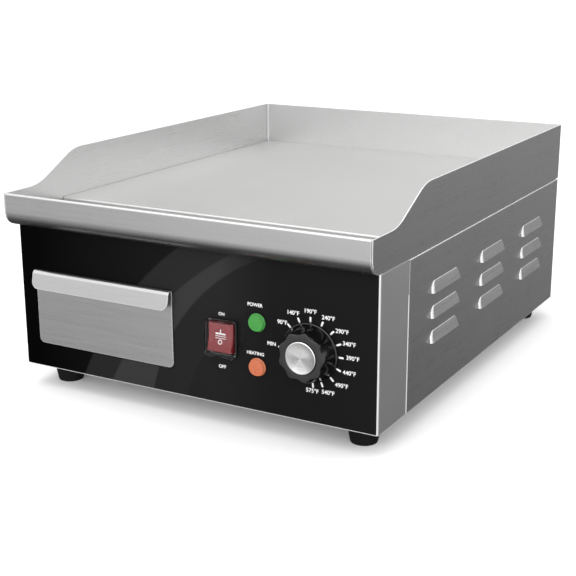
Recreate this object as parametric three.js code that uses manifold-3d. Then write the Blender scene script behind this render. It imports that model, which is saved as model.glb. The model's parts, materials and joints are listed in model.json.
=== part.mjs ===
// Countertop electric griddle: a heated steel plate in a stainless splash tray, standing on a
// louvred cabinet with a front control panel and a pull-out grease drawer.
// Millimetres, +Z up, the front faces -Y. The cabinet is drawn with its panel face at y = 0, and the
// whole group is then moved so that the origin lies on the floor under the middle of the overall box.
import * as THREE from "three";
import { ConvexGeometry } from "three/addons/geometries/ConvexGeometry.js";
import { mergeVertices } from "three/addons/utils/BufferGeometryUtils.js";
import Module from "manifold-3d";

const wasm = await Module();
wasm.setup();

// ---- Driving dimensions ----------------------------------------------------------------------

const WIDTH = 360; // outside of the splash tray
const DEPTH = 443; // panel face to the rear wall
const BODY_HEIGHT = 132; // cabinet, without the feet
const FASCIA_HEIGHT = 30; // top of the cabinet to the top of the front fascia
const GUARD_RISE = 26.8; // splash guard above the fascia
const FOOT_HEIGHT = 20;

const GAP = 0.3; // between pieces that meet
const SEAM = 0.8; // between the cabinet and the tray
const TRAY_SHEET = 1.2;
const BODY_SHEET = 1;
const BODY_INSET = 0.8; // cabinet side inside the tray's side

// Splash tray
const FASCIA_REACH = 15.8; // fascia in front of the panel face
const LIP_RADIUS = 13.6; // rolled lower edge of the fascia
const LIP_FLANGE = 12; // lip's flange behind the panel face
const HEM_WIDTH = 3.6; // folded top edge of the fascia
const GUARD_START = 17; // where the guard's top edge begins to climb
const GUARD_SLOPE = THREE.MathUtils.degToRad(27);
const GUARD_SWEEP = 50; // radius of both bends in the guard's top edge
const GUARD_BEND = 3; // outside radius of the guard's rear corners
const PLATE_DROP = 17.2; // plate surface below the fascia's top
const PLATE_THICKNESS = 8;
const PLATE_FRONT = 62; // plate's front edge behind the panel face
const PLATE_EDGE_RADIUS = 2.5;
const PLATE_CORNER = 3;
const TROUGH_GAP = 0.6; // trough floor above the lip's flange
const TROUGH_UNDERLAP = 10; // trough floor's reach under the plate
const DRAIN_RADIUS = 10;
const DRAIN_WALL = 1;
const DRAIN_DROP = 16; // spout below the trough floor
const DRAIN_RIM = 3;
const DRAIN_RIM_SHEET = 0.8;
const DRAIN_BEHIND_PANEL = 30;

// Heating
const ELEMENT_RADIUS = 4;
const ELEMENT_PITCH = 80; // between the element's long runs
const ELEMENT_MARGIN = 34; // from the plate's front and rear edges to the element
const ELEMENT_TAIL = 34; // cold ends below the element
const TAIL_BEND = 12;
const CLAMP_WIDTH = 22;
const CLAMP_SHEET = 2;
const STUD_RADIUS = 3;
const STUD_LENGTH = 15.5;
const NUT_HEIGHT = 5;
const NUT_RADIUS = 5.8; // across corners
const NUT_BORE = 3.9; // six-sided bore, across corners
const INSULATION_THICKNESS = 12;
const INSULATION_CLEARANCE = 2; // below the studs
const SHIELD_MARGIN = 12; // from the cabinet's walls
const BULB_RADIUS = 3;
const BULB_LENGTH = 100;
const CAPILLARY_RADIUS = 1;
const CLIP_WIDTH = 14;

// Cabinet
const OVERLAY = 0.7; // glossy control overlay
const OVERLAY_MARGIN = 1.4; // stainless left showing at the panel's sides
const OVERLAY_FOOT = 1; // and along its lower edge
const BOX_DEPTH = 55; // control box, front face to the side seam
const BOX_BEND = 2.4;
const TOP_FLANGE = 20;
const FLANGE = 14;
const SEAM_GROOVE = 0.6;
const VENT_COLUMNS = 3;
const VENT_ROWS = 3;
const LOUVRE_LENGTH = 57;
const LOUVRE_HEIGHT = 12;
const LOUVRE_REACH = 3.4;
const LOUVRE_END = 5; // sloped length at each end
const LOUVRE_LIP = 0.4; // mouth cut this far below the hood
const LOUVRE_ROW_PITCH = 22.2;
const LOUVRE_TOP_MARGIN = 28; // cabinet's top edge to the top row
const LOUVRE_FRONT_MARGIN = 48;
const LOUVRE_REAR_MARGIN = 53;
const BASE_CLEARANCE = 0.3;
const BASE_SLOT = [32, 6]; // cooling slots in the base plate
const BASE_SLOT_PITCH = 44;

// Grease drawer
const DRAWER_INSET = 18.8; // from the cabinet's left side
const DRAWER_BOTTOM = 24; // drawer front above the cabinet's lower edge
const DRAWER_TOP = 38.9; // handle below the cabinet's top
const DRAWER_LENGTH = 220;
const DRAWER_SHEET = 1;
const DRAWER_OVERLAP = 5; // front plate past the opening
const DRAWER_CLEARANCE = 1.2;
const HANDLE_REACH = 5; // lip in front of the plate, at its top
const HANDLE_FLARE = 3; // and further out at its lower edge
const HANDLE_DROP = 16;
const HANDLE_BEND = 2.4; // middle of the sheet, at both bends of the pull
const RAIL_LEDGE = 8; // under the tray's edge
const RAIL_WEB = 4; // web in from the tray's edge
const RAIL_FOOT = 12; // web's flange on the base plate
const RAIL_FENCE = 14; // beside the tray
const HANDLE_CORNER = 7;
const PLATE_ROUND = 5;

// Controls, placed from the cabinet's right side
const CONTROL_HEIGHT = 60.2; // centre line above the cabinet's lower edge
const DIAL_INSET = 60.1;
const DIAL_TO_LAMPS = 48.7;
const LAMPS_TO_SWITCH = 32.7;
const SWITCH_TO_DRAWER = 50.8;
const LAMP_SPACING = 38.3;
const LAMP_DROP = 1.45; // lamps' middle below the controls' centre line
const KNOB_SKIRT_RADIUS = 25;
const KNOB_BASE_RADIUS = 24; // grip where it leaves the skirt
const KNOB_GRIP_RADIUS = 21; // and at its front
const KNOB_LOBES = 9;
const KNOB_LOBE_DEPTH = 1.1;
const KNOB_HEIGHT = 16.4;
const KNOB_SKIRT_HEIGHT = 1.4;
const KNOB_CLEARANCE = 0.8; // skirt off the overlay
const CAP_RADIUS = 13.6;
const CAP_HEIGHT = 1.6;
const CAP_SEAT = 1; // recess in the grip's front
const SHAFT_RADIUS = 3;
const SHAFT_IN_KNOB = 11;
const SWITCH_WIDTH = 27.2;
const SWITCH_HEIGHT = 31;
const BEZEL_THICKNESS = 2.5;
const ROCKER_WIDTH = 21;
const ROCKER_HALF = 12.4;
const ROCKER_ROOM = 1.3; // window past the rocker's ends, for its swing
const ROCKER_TILT = THREE.MathUtils.degToRad(7);
const ROCKER_PIVOT_DEPTH = 3; // behind the panel face
const ROCKER_VALLEY = 8; // rocker face in front of its pivot
const SWITCH_DEPTH = 30; // housing behind the panel face
const SWITCH_LUG = 9;
const SWITCH_NECK = 1.6; // bezel past the hole in the panel
const COVER_REACH = 9.8;
const COVER_WALL = 0.8;
const ROCKER_SIDE_ROOM = 0.4; // window past the rocker's sides
const LUG_WIDTH = 8;
const TAB_WIDTH = 6;
const TAB_SHEET = 0.8;
const LAMP_RADIUS = 7.8;
const LAMP_REACH = 4;
const LAMP_BARREL_RADIUS = 5;
const LAMP_BARREL_LENGTH = 26;

const THERMOSTAT_SIZE = 40;
const THERMOSTAT_STEP = 4; // rear part of the housing, smaller all round
const THERMOSTAT_DEPTH = 24;
const THERMOSTAT_BASE = 12;
const THERMOSTAT_EAR = 4;
const TAB_HALF = 10; // spade tabs each side of the shaft
const TAB_LENGTH = 11;
const BLOCK_SIZE = [42, 20, 18]; // terminal block
const BLOCK_PITCH = 13;
const BLOCK_TO_GLAND = 41;
const BLOCK_TO_REAR = 60;
const LEAD_RADIUS = 1.5;
const LEAD_END = 0.5; // a lead's end stops short of what it serves
const WELL_RADIUS = 3; // screw wells in the terminal block
const WELL_DEPTH = 8;
const RAIL_TO_LEAD = 14; // lead's run beside the drawer

// Feet, gland and screws
const FOOT_TOP_RADIUS = 15;
const FOOT_BOTTOM_RADIUS = 11.5;
const FOOT_SIDE_INSET = 26;
const FOOT_FRONT_INSET = 30;
const FOOT_REAR_INSET = 22;
const FOOT_SPIGOT_RADIUS = 10; // through the cabinet's flanges, up to the base plate
const FOOT_RECESS = 9;
const FOOT_BORE = 2.6;
const SCREW_RADIUS = 2.2;
const SCREW_HEAD_RADIUS = 4.2;
const SCREW_HEAD = 2.6;
const GLAND_INSET = 52; // from the cabinet's right side
const GLAND_HEIGHT = 34; // above the cabinet's lower edge
const GLAND_THREAD_RADIUS = 8;
const GLAND_HEX_RADIUS = 12;
const LOCKNUT_BORE = 9.7; // six-sided bore, across corners
const GLAND_REACH = 16;
const GLAND_TAIL = 12; // thread inside the rear panel
const GLAND_HEX = 6;
const LOCKNUT_HEIGHT = 4;
const CORD_HOLE_RADIUS = 4;

// ---- Places worked out from them ---------------------------------------------------------------

const halfWidth = WIDTH / 2;
const bodyHalf = halfWidth - BODY_INSET;
const bodyBottom = FOOT_HEIGHT;
const bodyTop = FOOT_HEIGHT + BODY_HEIGHT;
const trayBottom = bodyTop + SEAM;
const fasciaTop = bodyTop + SEAM + FASCIA_HEIGHT;
const guardTop = fasciaTop + GUARD_RISE;
const plateTop = fasciaTop - PLATE_DROP;
const plateBottom = plateTop - PLATE_THICKNESS;
const plateHalf = halfWidth - TRAY_SHEET - GAP;
const plateRear = DEPTH - TRAY_SHEET - GAP;
const troughFloorTop = trayBottom + 2 * TRAY_SHEET + TROUGH_GAP;
const boxFace = OVERLAY + GAP; // outside of the control box's front sheet
const sideFront = BOX_DEPTH + SEAM_GROOVE;
const controlZ = bodyBottom + CONTROL_HEIGHT;
const dialX = bodyHalf - DIAL_INSET;
const lampX = dialX - DIAL_TO_LAMPS;
const switchX = lampX - LAMPS_TO_SWITCH;
const drawerLeft = -bodyHalf + DRAWER_INSET;
const drawerRight = switchX - SWITCH_TO_DRAWER;
const drawerX = (drawerLeft + drawerRight) / 2;
const drawerLow = bodyBottom + DRAWER_BOTTOM;
const drawerHigh = bodyTop - DRAWER_TOP;
const openingLeft = drawerLeft + DRAWER_OVERLAP;
const openingRight = drawerRight - DRAWER_OVERLAP;
const openingLow = drawerLow + DRAWER_OVERLAP;
const openingHigh = drawerHigh - DRAWER_OVERLAP;
const studBottom = plateBottom - STUD_LENGTH;
const insulationTop = studBottom - INSULATION_CLEARANCE;
const shieldTop = insulationTop - INSULATION_THICKNESS - GAP;
const elementZ = plateBottom - GAP - ELEMENT_RADIUS;
const elementFront = PLATE_FRONT + ELEMENT_MARGIN + ELEMENT_PITCH / 2;
const elementRear = plateRear - ELEMENT_MARGIN - ELEMENT_PITCH / 2;
const shieldFront = PLATE_FRONT + ELEMENT_MARGIN + TAIL_BEND + 2 * ELEMENT_RADIUS;
const glandX = bodyHalf - GLAND_INSET;
const glandZ = bodyBottom + GLAND_HEIGHT;
const switchNeck = [SWITCH_WIDTH / 2 - SWITCH_NECK, SWITCH_HEIGHT / 2 - SWITCH_NECK / 2];
const lugHeight = SWITCH_HEIGHT / 4;
const lampHeights = [LAMP_SPACING / 2 - LAMP_DROP, -LAMP_SPACING / 2 - LAMP_DROP];

// ---- Materials -----------------------------------------------------------------------------------

const finish = (color, roughness, metalness) =>
  new THREE.MeshStandardMaterial({ color, roughness, metalness });

const stainless = finish(0xb9bab9, 0.32, 1);
const groundPlate = finish(0xc8c8c6, 0.4, 1);
const zincSteel = finish(0xa9adb0, 0.45, 1);
const elementSheath = finish(0x5b5f52, 0.6, 0.8);
const blackGloss = finish(0x0c0c0d, 0.12, 0);
const blackPlastic = finish(0x161617, 0.4, 0);
const redPlastic = finish(0x9c1a20, 0.25, 0);
const clearPlastic = finish(0xe8eaec, 0.1, 0);
const greenLens = finish(0x2fae46, 0.2, 0);
const orangeLens = finish(0xe8894f, 0.2, 0);
const spunAluminium = finish(0xdcdcda, 0.28, 1);
const rubber = finish(0x151515, 0.85, 0);
const mineralWool = finish(0xd8d2bf, 0.95, 0);
const copper = finish(0xb87345, 0.4, 1);
const whiteCeramic = finish(0xe6e2d8, 0.5, 0);
const leadSleeve = finish(0xc9c4b4, 0.7, 0);

// ---- Shape helpers -------------------------------------------------------------------------------

const X = new THREE.Vector3(1, 0, 0);
const Y = new THREE.Vector3(0, 1, 0);
const Z = new THREE.Vector3(0, 0, 1);

// A closed geometry as a manifold-3d solid, for cutting and joining.
function toSolid(geometry) {
  const bare = geometry.clone();
  bare.deleteAttribute("normal");
  bare.deleteAttribute("uv");
  const merged = mergeVertices(bare, 1e-4);
  return new wasm.Manifold(
    new wasm.Mesh({
      numProp: 3,
      vertProperties: merged.attributes.position.array,
      triVerts: new Uint32Array(merged.index.array),
    }),
  );
}

function toGeometry(solid) {
  const mesh = solid.getMesh();
  const geometry = new THREE.BufferGeometry();
  geometry.setAttribute("position", new THREE.BufferAttribute(mesh.vertProperties, 3));
  geometry.setIndex(new THREE.BufferAttribute(mesh.triVerts, 1));
  geometry.computeVertexNormals();
  return geometry;
}

const join = (geometries) =>
  toGeometry(geometries.map(toSolid).reduce((all, next) => all.add(next)));
const cut = (geometry, tools) =>
  toGeometry(tools.map(toSolid).reduce((left, tool) => left.subtract(tool), toSolid(geometry)));
const overlapOf = (a, b) => toGeometry(toSolid(a).intersect(toSolid(b)));

function box(x0, x1, y0, y1, z0, z1) {
  return new THREE.BoxGeometry(x1 - x0, y1 - y0, z1 - z0).translate(
    (x0 + x1) / 2,
    (y0 + y1) / 2,
    (z0 + z1) / 2,
  );
}

const extrude = (shape, depth, curveSegments = 6) =>
  new THREE.ExtrudeGeometry(shape, { depth, curveSegments, bevelEnabled: false });

// A shape drawn in (y, z), run from x0 to x1.
const alongX = (shape, x0, x1, segments) =>
  extrude(shape, x1 - x0, segments)
    .applyMatrix4(new THREE.Matrix4().makeBasis(Y, Z, X))
    .translate(x0, 0, 0);

// A shape drawn in (x, z), run from y0 to y1.
const alongY = (shape, y0, y1, segments) =>
  extrude(shape, y1 - y0, segments)
    .applyMatrix4(new THREE.Matrix4().makeBasis(X, Z, Y.clone().negate()))
    .translate(0, y1, 0);

// A shape drawn in (x, y), run from z0 to z1.
const alongZ = (shape, z0, z1, segments) => extrude(shape, z1 - z0, segments).translate(0, 0, z0);

// A turned piece about its own +Z axis, from (radius, height) pairs.
const turned = (profile, sides = 24) =>
  new THREE.LatheGeometry(
    profile.map(([r, h]) => new THREE.Vector2(r, h)),
    sides,
  ).rotateX(Math.PI / 2);

const rod = (radius, z0, z1, sides = 16) =>
  turned([[0, z0], [radius, z0], [radius, z1], [0, z1]], sides);

// Points of an arc, for a bent-sheet path; the angles are in degrees.
function arc(cx, cy, radius, from, to, steps = 5) {
  return Array.from({ length: steps + 1 }, (_, i) => {
    const a = THREE.MathUtils.degToRad(from + ((to - from) * i) / steps);
    return [cx + radius * Math.cos(a), cy + radius * Math.sin(a)];
  });
}

// The section of a bent sheet whose middle line is the path, with mitred bends.
function bentSheet(path, thickness) {
  const points = path.map(([x, y]) => new THREE.Vector2(x, y));
  const side = (sign) =>
    points.map((p, i) => {
      const before = p.clone().sub(points[Math.max(i - 1, 0)]).normalize();
      const after = points[Math.min(i + 1, points.length - 1)].clone().sub(p).normalize();
      if (i === 0) before.copy(after);
      if (i === points.length - 1) after.copy(before);
      const normal = new THREE.Vector2(-before.y - after.y, before.x + after.x).normalize();
      const stretch = 1 / normal.dot(new THREE.Vector2(-before.y, before.x));
      return p.clone().addScaledVector(normal, (sign * stretch * thickness) / 2);
    });
  return new THREE.Shape([...side(1), ...side(-1).reverse()]);
}

function roundedRect(x0, x1, y0, y1, radius) {
  const shape = new THREE.Shape();
  shape.moveTo(x0 + radius, y0);
  shape.lineTo(x1 - radius, y0).absarc(x1 - radius, y0 + radius, radius, -Math.PI / 2, 0);
  shape.lineTo(x1, y1 - radius).absarc(x1 - radius, y1 - radius, radius, 0, Math.PI / 2);
  shape.lineTo(x0 + radius, y1).absarc(x0 + radius, y1 - radius, radius, Math.PI / 2, Math.PI);
  shape.lineTo(x0, y0 + radius).absarc(x0 + radius, y0 + radius, radius, Math.PI, 1.5 * Math.PI);
  return shape;
}

// A round tube or wire that follows a smooth curve.
function tube(curve, radius, sides, steps) {
  const section = new THREE.Shape(
    Array.from({ length: sides }, (_, i) => {
      const a = (2 * Math.PI * i) / sides;
      return new THREE.Vector2(radius * Math.cos(a), radius * Math.sin(a));
    }),
  );
  return new THREE.ExtrudeGeometry(section, { steps, extrudePath: curve, bevelEnabled: false });
}

const griddle = new THREE.Group();

function place(group, name, geometry, material, position = [0, 0, 0], rotation = [0, 0, 0]) {
  const mesh = new THREE.Mesh(geometry, material);
  mesh.name = name;
  mesh.position.set(...position);
  mesh.rotation.set(...rotation);
  group.add(mesh);
  return mesh;
}

const section = () => {
  const group = new THREE.Group();
  griddle.add(group);
  return group;
};

// A local +Z axis turned to point out of the front or out of the rear.
const TO_FRONT = [Math.PI / 2, 0, 0];
const TO_REAR = [-Math.PI / 2, 0, 0];

// ---- Splash tray -----------------------------------------------------------------------------------

// Where the tray's four corner studs and the element's clamp studs stand on the plate's underside.
const trayStuds = [-1, 1].flatMap((side) =>
  [sideFront + 2 * FLANGE, DEPTH - 4 * FLANGE].map((y) => [
    side * (bodyHalf - BODY_SHEET - TOP_FLANGE / 2),
    y,
  ]),
);
const clampRows = [0.3, 0.72].map((t) => elementFront + t * (elementRear - elementFront));
const clampReach = 1.5 * ELEMENT_PITCH - 2 * ELEMENT_RADIUS - NUT_RADIUS;
const clampStuds = clampRows.flatMap((y) => [-1, 1].map((side) => [side * clampReach, y]));

function griddlePlate() {
  const edge = new THREE.Shape();
  edge.moveTo(PLATE_FRONT, plateBottom);
  edge.lineTo(plateRear, plateBottom).lineTo(plateRear, plateTop);
  edge.lineTo(PLATE_FRONT + PLATE_EDGE_RADIUS, plateTop);
  edge.absarc(
    PLATE_FRONT + PLATE_EDGE_RADIUS,
    plateTop - PLATE_EDGE_RADIUS,
    PLATE_EDGE_RADIUS,
    Math.PI / 2,
    Math.PI,
  );
  const slab = alongX(edge, -plateHalf, plateHalf, 4);
  const plan = roundedRect(-plateHalf, plateHalf, PLATE_FRONT, plateRear, PLATE_CORNER);
  const plate = overlapOf(slab, alongZ(plan, plateBottom - 1, plateTop + 1, 3));
  const studs = [...trayStuds, ...clampStuds].map(([x, y]) =>
    rod(STUD_RADIUS, studBottom, plateBottom + 1, 8).translate(x, y, 0),
  );
  return join([plate, ...studs]);
}

// Side view of the whole splash guard, with its swept front and the notch for the fascia's lip.
function guardOutline() {
  const straight =
    (GUARD_RISE - 2 * GUARD_SWEEP * (1 - Math.cos(GUARD_SLOPE))) / Math.sin(GUARD_SLOPE);
  const guardEnd =
    GUARD_START +
    2 * GUARD_SWEEP * Math.sin(GUARD_SLOPE) +
    straight * Math.cos(GUARD_SLOPE);
  const outline = new THREE.Shape();
  outline.moveTo(LIP_RADIUS - FASCIA_REACH, trayBottom);
  outline.lineTo(DEPTH, trayBottom).lineTo(DEPTH, guardTop).lineTo(guardEnd, guardTop);
  outline.absarc(
    guardEnd,
    guardTop - GUARD_SWEEP,
    GUARD_SWEEP,
    Math.PI / 2,
    Math.PI / 2 + GUARD_SLOPE,
  );
  outline.absarc(
    GUARD_START,
    fasciaTop + GUARD_SWEEP,
    GUARD_SWEEP,
    -Math.PI / 2 + GUARD_SLOPE,
    -Math.PI / 2,
    true,
  );
  outline.lineTo(-FASCIA_REACH, fasciaTop).lineTo(-FASCIA_REACH, trayBottom + LIP_RADIUS);
  outline.absarc(
    LIP_RADIUS - FASCIA_REACH,
    trayBottom + LIP_RADIUS,
    LIP_RADIUS,
    Math.PI,
    1.5 * Math.PI,
  );
  return outline;
}

// One sheet bent round the left side, the rear and the right side.
function splashGuard() {
  const side = halfWidth - TRAY_SHEET / 2;
  const rear = DEPTH - TRAY_SHEET / 2;
  const bend = GUARD_BEND - TRAY_SHEET / 2;
  const plan = bentSheet(
    [
      [side, -FASCIA_REACH],
      ...arc(side - bend, rear - bend, bend, 0, 90, 3),
      ...arc(bend - side, rear - bend, bend, 90, 180, 3),
      [-side, -FASCIA_REACH],
    ],
    TRAY_SHEET,
  );
  return overlapOf(
    alongZ(plan, trayBottom, guardTop),
    alongX(guardOutline(), -halfWidth - 1, halfWidth + 1, 6),
  );
}

// Rolled lip, fascia, folded top, inner wall and trough floor in one bent sheet.
function frontGutter() {
  const face = TRAY_SHEET / 2 - FASCIA_REACH;
  const roll = LIP_RADIUS - TRAY_SHEET / 2;
  const inner = face + HEM_WIDTH - TRAY_SHEET;
  const fold = (HEM_WIDTH - TRAY_SHEET) / 2;
  const floor = troughFloorTop - TRAY_SHEET / 2;
  const corner = 3;
  const back = PLATE_FRONT + TROUGH_UNDERLAP;
  const path = [
    [LIP_FLANGE, trayBottom + TRAY_SHEET / 2],
    ...arc(face + roll, trayBottom + TRAY_SHEET / 2 + roll, roll, 270, 180, 6),
    ...arc(face + fold, fasciaTop - TRAY_SHEET / 2 - fold, fold, 180, 0, 4),
    ...arc(inner + corner, floor + corner, corner, 180, 270, 3),
    [back, floor],
    [back, plateBottom - GAP],
  ];
  const sheet = alongX(bentSheet(path, TRAY_SHEET), -plateHalf, plateHalf);
  const drain = rod(DRAIN_RADIUS + GAP, floor - 5, floor + 5, 20).translate(
    drawerX,
    DRAIN_BEHIND_PANEL,
    0,
  );
  return cut(sheet, [drain]);
}

// Flanged spout: its rim lies on the trough floor and its tube hangs over the drawer.
const drainSpout = () =>
  turned(
    [
      [DRAIN_RADIUS - DRAIN_WALL, troughFloorTop + GAP + DRAIN_RIM_SHEET],
      [DRAIN_RADIUS - DRAIN_WALL, troughFloorTop - DRAIN_DROP],
      [DRAIN_RADIUS, troughFloorTop - DRAIN_DROP],
      [DRAIN_RADIUS, troughFloorTop + GAP],
      [DRAIN_RADIUS + DRAIN_RIM, troughFloorTop + GAP],
      [DRAIN_RADIUS + DRAIN_RIM, troughFloorTop + GAP + DRAIN_RIM_SHEET],
      [DRAIN_RADIUS - DRAIN_WALL, troughFloorTop + GAP + DRAIN_RIM_SHEET],
    ],
    20,
  );

const nut = () =>
  turned(
    [
      [NUT_BORE, 0],
      [NUT_RADIUS, 0],
      [NUT_RADIUS, NUT_HEIGHT],
      [NUT_BORE, NUT_HEIGHT],
      [NUT_BORE, 0],
    ],
    6,
  );

const tray = section();
place(tray, "griddle_plate", griddlePlate(), groundPlate);
place(tray, "splash_guard", splashGuard(), stainless);
place(tray, "front_gutter", frontGutter(), stainless);
place(tray, "drain_spout", drainSpout(), stainless, [drawerX, DRAIN_BEHIND_PANEL, 0]);
trayStuds.forEach(([x, y], i) => {
  const end = (x < 0 ? "left" : "right") + (i % 2 ? "_rear" : "_front");
  const under = bodyTop - BODY_SHEET - GAP - NUT_HEIGHT;
  place(tray, "tray_nut_" + end, nut(), zincSteel, [x, y, under]);
});

// ---- Heating ---------------------------------------------------------------------------------------

// Sheathed element: four long runs joined by three U-bends, its cold ends turned down at the front.
function heatingElement() {
  const runs = [-1.5, -0.5, 0.5, 1.5].map((n) => n * ELEMENT_PITCH);
  const tailY = elementFront - ELEMENT_PITCH / 2;
  const path = new THREE.CurvePath();
  const line = (a, b) => path.add(new THREE.LineCurve3(a, b));
  const at = (x, y, z = elementZ) => new THREE.Vector3(x, y, z);
  const bend = (a, corner, b) => path.add(new THREE.QuadraticBezierCurve3(a, corner, b));
  // A half turn from one run to the next, as two cubic quarter turns.
  const uTurn = (x0, x1, y, way) => {
    const r = (x1 - x0) / 2;
    const k = 0.5523 * r;
    const top = at(x0 + r, y + way * r);
    const quarter = (a, b, c, d) => path.add(new THREE.CubicBezierCurve3(a, b, c, d));
    quarter(at(x0, y), at(x0, y + way * k), at(x0 + r - k, y + way * r), top);
    quarter(top, at(x0 + r + k, y + way * r), at(x1, y + way * k), at(x1, y));
  };
  const tail = (x) => [
    at(x, tailY, elementZ - ELEMENT_TAIL),
    at(x, tailY, elementZ - TAIL_BEND),
    at(x, tailY),
    at(x, tailY + TAIL_BEND),
  ];
  const first = tail(runs[0]);
  const last = tail(runs[3]).reverse();
  line(first[0], first[1]);
  bend(first[1], first[2], first[3]);
  line(first[3], at(runs[0], elementRear));
  uTurn(runs[0], runs[1], elementRear, 1);
  line(at(runs[1], elementRear), at(runs[1], elementFront));
  uTurn(runs[1], runs[2], elementFront, -1);
  line(at(runs[2], elementFront), at(runs[2], elementRear));
  uTurn(runs[2], runs[3], elementRear, 1);
  line(at(runs[3], elementRear), last[0]);
  bend(last[0], last[1], last[2]);
  line(last[2], last[3]);
  return tube(path, ELEMENT_RADIUS, 8, 84);
}

const clampZ = elementZ - ELEMENT_RADIUS - GAP;

function clampBar(y) {
  const reach = clampReach + NUT_RADIUS + 2;
  const bar = box(
    -reach,
    reach,
    y - CLAMP_WIDTH / 2,
    y + CLAMP_WIDTH / 2,
    clampZ - CLAMP_SHEET,
    clampZ,
  );
  const holes = [-1, 1].map((side) =>
    rod(STUD_RADIUS + GAP + 0.2, clampZ - CLAMP_SHEET - 1, clampZ + 1, 8).translate(
      side * clampReach,
      y,
      0,
    ),
  );
  return cut(bar, holes);
}

// Sensing bulb under the plate, on the thin tube that leads forward and down to the thermostat.
const bulbZ = plateBottom - GAP - BULB_RADIUS;
const bulbFront = (clampRows[0] + clampRows[1] - BULB_LENGTH) / 2;
const shaftRear = boxFace + BODY_SHEET + GAP;
const thermostatRear = shaftRear + THERMOSTAT_DEPTH + THERMOSTAT_BASE;
const tabHeight = THERMOSTAT_SIZE / 2 - THERMOSTAT_STEP / 2;

function capillaryAndBulb() {
  const bulb = rod(BULB_RADIUS, 0, BULB_LENGTH, 10)
    .rotateX(-Math.PI / 2)
    .translate(0, bulbFront, bulbZ);
  const down = (PLATE_FRONT + TROUGH_UNDERLAP + shieldFront) / 2;
  const curve = new THREE.CatmullRomCurve3(
    [
      [0, bulbFront + 2, bulbZ],
      [0, bulbFront - 20, bulbZ],
      [2, (bulbFront + down) / 2, bulbZ - 1],
      [10, down + 16, bulbZ - 4],
      [24, down, bulbZ - 22],
      [dialX / 2, down - 2, insulationTop - 18],
      [dialX - 6, down - 6, controlZ + 30],
      [dialX, down - 14, controlZ + 8],
      [dialX, thermostatRear + 8, controlZ],
      [dialX, thermostatRear + GAP, controlZ],
    ].map((p) => new THREE.Vector3(...p)),
  );
  return join([bulb, tube(curve, CAPILLARY_RADIUS, 6, 44)]);
}

// Saddle that presses the bulb to the plate.
function bulbClip() {
  const reach = 2.6 * BULB_RADIUS;
  const low = bulbZ - BULB_RADIUS - GAP - 0.5;
  const path = [
    [-reach - 5, plateBottom - GAP - 0.5],
    [-reach, plateBottom - GAP - 0.5],
    [-BULB_RADIUS - 1.2, low],
    [BULB_RADIUS + 1.2, low],
    [reach, plateBottom - GAP - 0.5],
    [reach + 5, plateBottom - GAP - 0.5],
  ];
  const y = bulbFront + BULB_LENGTH / 2;
  return alongY(bentSheet(path, 1), y - CLIP_WIDTH / 2, y + CLIP_WIDTH / 2);
}

const shieldHalf = bodyHalf - BODY_SHEET - TOP_FLANGE - SHIELD_MARGIN / 2;
const shieldRear = DEPTH - 2 * FLANGE;

function heatShield() {
  const lip = INSULATION_THICKNESS;
  const path = [
    [-shieldHalf, shieldTop + lip],
    [-shieldHalf, shieldTop - BODY_SHEET / 2],
    [shieldHalf, shieldTop - BODY_SHEET / 2],
    [shieldHalf, shieldTop + lip],
  ];
  return alongY(bentSheet(path, BODY_SHEET), shieldFront, shieldRear);
}

const insulation = () =>
  box(
    -shieldHalf + SHIELD_MARGIN / 2,
    shieldHalf - SHIELD_MARGIN / 2,
    shieldFront + 2,
    shieldRear - 2,
    shieldTop + GAP,
    insulationTop,
  );

const heating = section();
place(heating, "heating_element", heatingElement(), elementSheath);
clampRows.forEach((y, i) => {
  place(heating, "element_clamp_bar_" + (i + 1), clampBar(y), zincSteel);
});
clampStuds.forEach(([x, y], i) => {
  const under = clampZ - CLAMP_SHEET - GAP - NUT_HEIGHT;
  place(heating, "clamp_nut_" + (i + 1), nut(), zincSteel, [x, y, under]);
});
place(heating, "capillary_and_bulb", capillaryAndBulb(), copper);
place(heating, "bulb_clip", bulbClip(), zincSteel);
place(heating, "heat_shield", heatShield(), zincSteel);
place(heating, "insulation_blanket", insulation(), mineralWool);

// ---- Cabinet ---------------------------------------------------------------------------------------

// The openings that both the control box and the overlay need, each run through y0 to y1.
function panelOpenings(y0, y1) {
  const hole = (x, z, radius) => rod(radius, -y1, -y0, 16).rotateX(Math.PI / 2).translate(x, 0, z);
  const [neckX, neckZ] = switchNeck;
  return [
    box(openingLeft, openingRight, y0, y1, openingLow, openingHigh),
    box(
      switchX - neckX,
      switchX + neckX,
      y0,
      y1,
      controlZ - neckZ,
      controlZ + neckZ,
    ),
    ...lampHeights.map((z) => hole(lampX, controlZ + z, LAMP_BARREL_RADIUS + GAP)),
    hole(dialX, controlZ, SHAFT_RADIUS + 2),
  ];
}

// Front face, two side returns and four flanges.
function controlBox() {
  const side = bodyHalf - BODY_SHEET / 2;
  const face = boxFace + BODY_SHEET / 2;
  const bend = BOX_BEND - BODY_SHEET / 2;
  const wrap = bentSheet(
    [
      [side - FLANGE, BOX_DEPTH - BODY_SHEET / 2],
      [side, BOX_DEPTH - BODY_SHEET / 2],
      ...arc(side - bend, face + bend, bend, 0, -90, 3),
      ...arc(bend - side, face + bend, bend, -90, -180, 3),
      [-side, BOX_DEPTH - BODY_SHEET / 2],
      [FLANGE - side, BOX_DEPTH - BODY_SHEET / 2],
    ],
    BODY_SHEET,
  );
  const flange = (z) =>
    box(-side, side, boxFace + BOX_BEND, boxFace + FLANGE, z, z + BODY_SHEET);
  const cross = (z) =>
    box(bend - side, side - bend, face, boxFace + BOX_BEND + 1, z, z + BODY_SHEET);
  const body = join([
    alongZ(wrap, bodyBottom, bodyTop),
    flange(bodyTop - BODY_SHEET),
    cross(bodyTop - BODY_SHEET),
    flange(bodyBottom),
    cross(bodyBottom),
  ]);
  return cut(body, panelOpenings(-5, boxFace + 5));
}

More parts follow.
